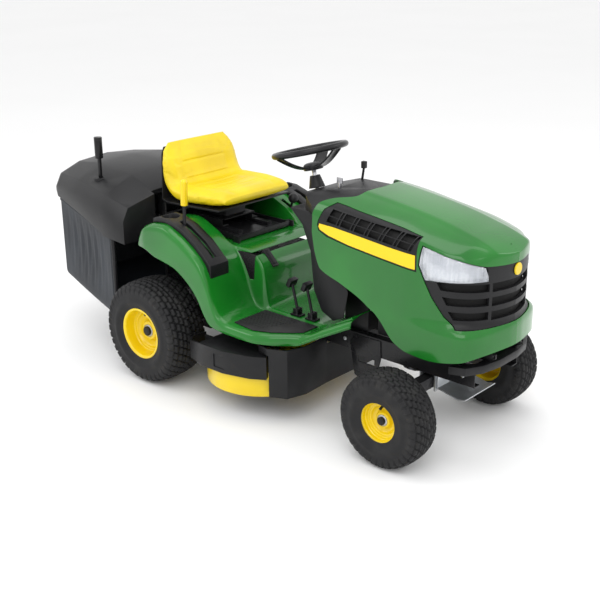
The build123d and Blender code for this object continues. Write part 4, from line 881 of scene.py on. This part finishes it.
def seatPad():
    count = seatLook["along"]
    spine = soften(path(seatLook["spine"], count), 8)
    ahead = np.gradient(spine, axis=0)
    ahead /= np.linalg.norm(ahead, axis=1)[:, None]
    share = np.linspace(0, 1, count)
    half = ease(*np.array(seatLook["half"]).T, share)
    thick = ease(*np.array(seatLook["thick"]).T, share)
    angle = np.linspace(0, 2 * np.pi, seatLook["around"], endpoint=False)
    flat = np.sign(np.cos(angle)) * np.abs(np.cos(angle)) ** 0.45
    rise = np.sign(np.sin(angle)) * np.abs(np.sin(angle)) ** 0.62
    y = half[:, None] * flat[None, :]
    lift = thick[:, None] * rise[None, :]
    top = np.clip(rise, 0, 1)[None, :]
    wide = np.abs(flat)[None, :]
    # side bolsters: a smooth ridge at four fifths of the half width, fading at the front lip and top
    ridge = np.exp(-((wide - 0.80) / 0.13) ** 2) * np.clip(np.sin(np.pi * np.clip(share * 1.08 - 0.02, 0,
                                                                                  1)), 0, 1)[:, None] ** 0.5
    lift = lift + seatLook["bolster"] * ridge * top
    lift = lift - 0.006 * (1 - np.clip(wide / 0.6, 0, 1) ** 2) * top * np.sin(np.pi * share)[:, None]
    # stitched grooves: two along the bolsters, three across the middle panel
    seam = np.exp(-((wide - 0.60) / 0.022) ** 2) * np.clip(share / 0.05, 0, 1)[:, None]
    for at in (0.20, 0.335, 0.47, 0.66, 0.82):
        seam = np.maximum(seam, np.exp(-((share - at) / 0.009) ** 2)[:, None] * (wide < 0.60))
    groove = seatLook["groove"] * seam * top
    grid = np.stack([axleX + spine[:, 0, None] + 0 * y, y, spine[:, 1, None] + 0 * y], axis=-1)
    facing = np.column_stack([-ahead[:, 1], ahead[:, 0]])
    if facing[count // 3, 1] < 0:
        facing = -facing
    offset = lift - groove
    grid[..., 0] += facing[:, 0, None] * offset
    grid[..., 2] += facing[:, 1, None] * offset
    return surface("seatPad", grid, "vinyl", closeV=True, caps=True)


def fill(pad, most):
    # cloth pressure rounds the panels between the seams, and no vertex moves more than most
    pad.modifiers.new("cloth", "CLOTH")
    cloth = pad.modifiers["cloth"]
    cloth.settings.use_pressure = True
    cloth.settings.uniform_pressure_force = seatLook["pressure"]
    cloth.settings.effector_weights.gravity = 0
    cloth.settings.tension_stiffness = 60
    cloth.settings.compression_stiffness = 60
    cloth.settings.shear_stiffness = 30
    cloth.settings.bending_stiffness = 8
    cloth.settings.quality = 5
    cloth.point_cache.frame_start = 1
    cloth.point_cache.frame_end = seatLook["frames"]
    for step in range(1, seatLook["frames"] + 1):
        bpy.context.scene.frame_set(step)
    before = np.empty(len(pad.data.vertices) * 3)
    pad.data.vertices.foreach_get("co", before)
    applyAll(pad)
    after = np.empty(len(pad.data.vertices) * 3)
    pad.data.vertices.foreach_get("co", after)
    move = (after - before).reshape(-1, 3)
    size = np.linalg.norm(move, axis=1)
    cap = np.minimum(size, most) / np.maximum(size, 1e-9)
    pad.data.vertices.foreach_set("co", (before.reshape(-1, 3) + move * cap[:, None]).ravel())
    bpy.context.scene.frame_set(1)
    pad.data.update()


pad = seatPad()
fill(pad, 0.003)
placed(pad, "seat_cushion", "seat_cushion")
print("seat made")


# ---- steering wheel
wheelLook = {"grip": 0.0128, "hub": 0.040, "drop": 0.066, "spokes": (20, 160, 270), "spokeHalf": 26}


def steeringWheel():
    joint = next(entry for entry in frame["record"]["behaviour"]["joints"] if entry["child"] == "steering")
    centre = np.array(joint["pos_m"])
    axis = np.array(joint["axis"])
    low, high = (np.array(corner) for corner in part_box("steering_wheel"))
    radius = (high[1] - low[1]) / 2 - 0.0135
    across = np.array([0.0, 1.0, 0.0])
    ahead = np.cross(across, axis)
    angle = np.linspace(0, 2 * np.pi, 160, endpoint=False)
    ring = np.linspace(0, 2 * np.pi, 20, endpoint=False)
    out = ahead * np.cos(angle)[:, None] + across * np.sin(angle)[:, None]
    # shallow finger waves round the inner half of the grip
    swell = wheelLook["grip"] * (1 + 0.03 * np.cos(48 * angle)[:, None] * np.clip(-np.cos(ring), 0, 1)[None,
                                                                                                       :])
    grid = centre + out[:, None] * (radius + swell * np.cos(ring))[...,
                                                                   None] + axis * (swell * np.sin(ring))[...,
                                                                                                         None]
    pieces = [surface("grip", grid, "satin", closeU=True, closeV=True)]
    for turn in wheelLook["spokes"]:
        mid = math.radians(turn) + math.pi / 2
        s = np.linspace(0, 1, 26)
        w = np.linspace(-1, 1, 15)
        reach = 0.030 + (radius - 0.004 - 0.030) * s
        span = np.radians(wheelLook["spokeHalf"]) * (1.55 - 0.9 * s + 0.45 * s ** 3)
        height = -wheelLook["drop"] + (wheelLook["drop"] - 0.004) * s ** 1.5
        theta = mid + span[:, None] * w[None, :] * np.minimum(1, 0.040 / reach)[:, None] * 1.35
        out = ahead * np.cos(theta)[..., None] + across * np.sin(theta)[..., None]
        sheet = centre + out * reach[:, None,
                                     None] + axis * (height[:, None] - 0.006 * (w ** 2)[None, :])[..., None]
        spoke = surface("spoke", sheet, "satin")
        pieces.append(thicken(spoke, 0.007))
    top = -wheelLook["drop"] + 0.012
    profile = [(0.0005, top + 0.004), (0.022, top + 0.003), (0.034, top - 0.001), (0.041, top - 0.010),
               (0.040, top - 0.026), (0.0005, top - 0.030)]
    pieces.append(turned("hub", path(profile, 40), centre, axis, "satin", 64))
    return placed(joined("steeringWheel", pieces), "steering_wheel", "steering_wheel")


steeringWheel()
softened("steering_shaft", "steel", 0.001)
print("steering wheel made")


# ---- catcher bag: one cloth cut, hung open-topped between the tubes, with a rear panel
bagLook = {"front": -0.264, "rear": -0.748, "corner": 0.045, "along": 110, "down": 34, "round": 8,
           "floor": 50, "cut": (1.02, 1.60)}


def catcherBag():
    x = np.linspace(bagLook["front"], bagLook["rear"], bagLook["along"])
    half = np.interp(x, [-0.760, -0.500, -0.262], [0.3001, 0.3583, 0.404]) - 0.003
    low = np.interp(x, [-0.760, -0.500, -0.262], [0.272, 0.236, 0.196]) + 0.004
    high = np.interp(x, [-0.760, -0.500, -0.262], [0.6806, 0.6426, 0.605])
    corner = bagLook["corner"]
    down = np.linspace(0, 1, bagLook["down"], endpoint=False)
    turn = np.linspace(0, np.pi / 2, bagLook["round"], endpoint=False)
    floor = np.linspace(1, 0, bagLook["floor"])
    wallY = np.repeat(half[:, None], len(down), axis=1)
    wallZ = high[:, None] + (low + corner - high)[:, None] * down
    bendY = half[:, None] - corner * (1 - np.cos(turn))
    bendZ = low[:, None] + corner * (1 - np.sin(turn))
    baseY = (half - corner)[:, None] * floor
    baseZ = np.repeat(low[:, None], len(floor), axis=1)
    y = np.hstack([wallY, bendY, baseY])
    z = np.hstack([wallZ, bendZ, baseZ])
    # the wall is drawn in between the stiff hems, with soft upright folds
    share = (x - x[0]) / (x[-1] - x[0])
    height = np.concatenate([down, np.ones(len(turn) + len(floor))])
    sag = np.sin(np.pi * share)[:, None] * np.sin(np.pi * np.clip(height, 0, 1))[None, :]
    fold = np.sin(44 * share[:, None] + 3 * height[None, :])
    y = y - np.sign(y) * sag * (0.014 + 0.0028 * fold + 0.0016 * np.sin(90 * share[:,
                                                                                   None] - 5 * height[None,
                                                                                                      :]))
    z = z + np.where(height[None, :] >= 1, -0.003 * np.sin(np.pi * share)[:, None], 0)
    side = np.stack([np.repeat(x[:, None], y.shape[1], axis=1), y, z], axis=-1)
    # rear panel: the same outline drawn together towards the top edge, bulging back a little
    close = np.linspace(0, 1, 40)[1:]
    last = side[-1]
    depth = 0.010 * np.sin(np.pi * close)
    panel = np.stack([np.broadcast_to((bagLook["rear"] - depth)[:, None], (len(close), len(last))),
                      last[:, 1] * (1 - close[:, None]),
                      last[0, 2] + (last[:, 2] - last[0, 2]) * (1 - close[:, None])], axis=-1)
    grid = np.concatenate([side, panel], axis=0)
    other = grid[:, ::-1].copy()
    other[..., 1] *= -1
    grid = np.concatenate([grid, other[:, 1:]], axis=1)
    grid[..., 0] += axleX
    bag = surface("bagCloth", grid, "cloth")
    thicken(bag, 0.0016)
    placed(bag, "catcher_bag", "catcher_bag")
    hems = []
    for side in (-1, 1):
        upright = [(axleX + bagLook["front"] + 0.001, side * 0.3985, z) for z in np.linspace(0.235, 0.600, 5)]
        hems.append(tube("hem", upright, 0.0075, "cloth", 14, 40))
        line = [(axleX + at, side * (half - 0.0035), high - 0.012) for at, half, high in
                ((-0.275, 0.4015, 0.607), (-0.500, 0.3583, 0.6426), (-0.745, 0.3035, 0.678))]
        hems.append(tube("hem", line, 0.0065, "cloth", 12, 60))
    hem = placed(joined("bagHems", hems), "catcher_bag")


catcherBag()
print("bag made")


# ---- pieces whose exact shape only needs moulded edges
plain = {
    "frame_rails": ("satin", 0.002), "rear_plate_and_catcher_mount": ("satin", 0.002),
    "front_crossmember": ("zinc", 0.0015),
    "frame_bolts": ("zinc", 0.001), "front_bumper": ("black", 0.006), "transaxle_housing": ("iron", 0.004),
    "transaxle_pulley": ("steel", 0.001), "engine_pulley": ("steel", 0.001),
    "drive_belt_and_idlers": ("belt", 0.001),
    # the fuel tank gets the dark satin black as painted shade, so the slivers of it seen under the body read
    # dark
    "engine": ("iron", 0.003), "battery_and_wiring": ("black", 0.003), "fuel_tank": ("satin", 0.0),
    "discharge_chute": ("black", 0.001), "lever_consoles": ("black", 0.004), "foot_mats": ("mat", 0.0012),
    "fuel_sight_window": ("black", 0.002), "fuel_cap": ("black", 0.004), "seat_base": ("satin", 0.002),
    "dash_tower": ("black", 0.006), "dash_top": ("black", 0.005),
    "throttle_lever": ("black", 0.002), "ignition_key": ("steel", 0.0008), "mower_deck": ("yellow", 0.004),
    "spindle_housings": ("iron", 0.001), "blade_right": ("steel", 0.0008), "blade_left": ("steel", 0.0008),
    "blade_timing_belt": ("belt", 0.001), "deck_covers": ("black", 0.005), "lift_lever": ("satin", 0.001),
    "lift_lever_grip": ("decal", 0.002), "blade_lever": ("black", 0.001), "forward_pedal": ("black", 0.004),
    "reverse_pedal": ("black", 0.004), "brake_pedal": ("black", 0.004), "control_brackets": ("satin", 0.0015),
    "catcher_cover": ("black", 0.006), "catcher_frame": ("satin", 0.001),
    "tip_lever": ("satin", 0.002), "front_axle_beam": ("iron", 0.003),
    "steering_knuckle_left": ("satin", 0.0015),
    "steering_knuckle_right": ("satin", 0.0015), "tie_rod": ("steel", 0.001),
}
for node, (paint, width) in plain.items():
    softened(node, paint, width)
shell = softened("seat_pan_and_slide", "black", 0.002)
spots = np.empty(len(shell.data.vertices) * 3)
shell.data.vertices.foreach_get("co", spots)
spots = spots.reshape(-1, 3)
# the back shell draws in behind the cushion: less wide and less tall above the pan
share = np.clip((spots[:, 2] - 0.80) / 0.04, 0, 1)
spots[:, 1] *= 1 - 0.13 * share
spots[:, 2] -= np.maximum(spots[:, 2] - 0.80, 0) * 0.10
shell.data.vertices.foreach_set("co", spots.ravel())
shell.data.update()
print("plain pieces made")


# ---- floor, light and camera
cameraLook = {"azimuth": 40.68, "elevation": 20.17, "distance": 4.4736, "lens": 63.44,
              "aim": (0.6275, 0.0, 0.400), "shiftX": -0.0371}


def studio():
    reach = 40.0
    floor = surface("floor", np.array([[(-reach, -reach, 0.0), (-reach, reach, 0.0)],
                                       [(reach, -reach, 0.0), (reach, reach, 0.0)]]), "white")
    paint = Paint("studioFloor")
    cloud = paint.noise(0.6, 2.0)
    floor.data.materials[0] = paint.set(Base_Color=paint.mix(cloud, color(0.93, 0.93, 0.93),
                                                             color(0.90, 0.90,
                                                                   0.90)), Roughness=cloud * 0.1 + 0.7)
    world = bpy.data.worlds.new("studio")
    bpy.context.scene.world = world
    world.use_nodes = True
    world.node_tree.nodes["Background"].inputs[0].default_value = (1.0, 1.0, 1.0, 1.0)
    world.node_tree.nodes["Background"].inputs[1].default_value = 1.0
    lamps = [((2.5, -3.5, 4.5), 4.0, 110), ((-3.0, -3.0, 3.5), 2.5, 45), ((3.5, 3.0, 3.0), 2.5, 35),
             ((0.0, 0.0, 5.5), 3.0, 45)]
    for place, size, power in lamps:
        data = bpy.data.lights.new("soft", "AREA")
        data.energy = power
        data.size = size
        lamp = bpy.data.objects.new("soft", data)
        lamp.location = place
        lamp.rotation_euler = (Vector((0.2, 0, 0.4)) - Vector(place)).to_track_quat("-Z", "Y").to_euler()
        bpy.context.scene.collection.objects.link(lamp)
    azimuth = math.radians(cameraLook["azimuth"])
    elevation = math.radians(cameraLook["elevation"])
    aim = Vector(cameraLook["aim"]) + Vector((axleX, 0, 0))
    away = Vector((math.sin(azimuth) * math.cos(elevation), -math.cos(azimuth) * math.cos(elevation),
                   math.sin(elevation)))
    data = bpy.data.cameras.new("view")
    data.lens = cameraLook["lens"]
    data.sensor_width = 36
    data.shift_x = cameraLook["shiftX"]
    camera = bpy.data.objects.new("view", data)
    camera.location = aim + away * cameraLook["distance"]
    camera.rotation_euler = (-away).to_track_quat("-Z", "Y").to_euler()
    bpy.context.scene.collection.objects.link(camera)
    bpy.context.scene.camera = camera
    bpy.context.scene.view_settings.view_transform = "Standard"


studio()
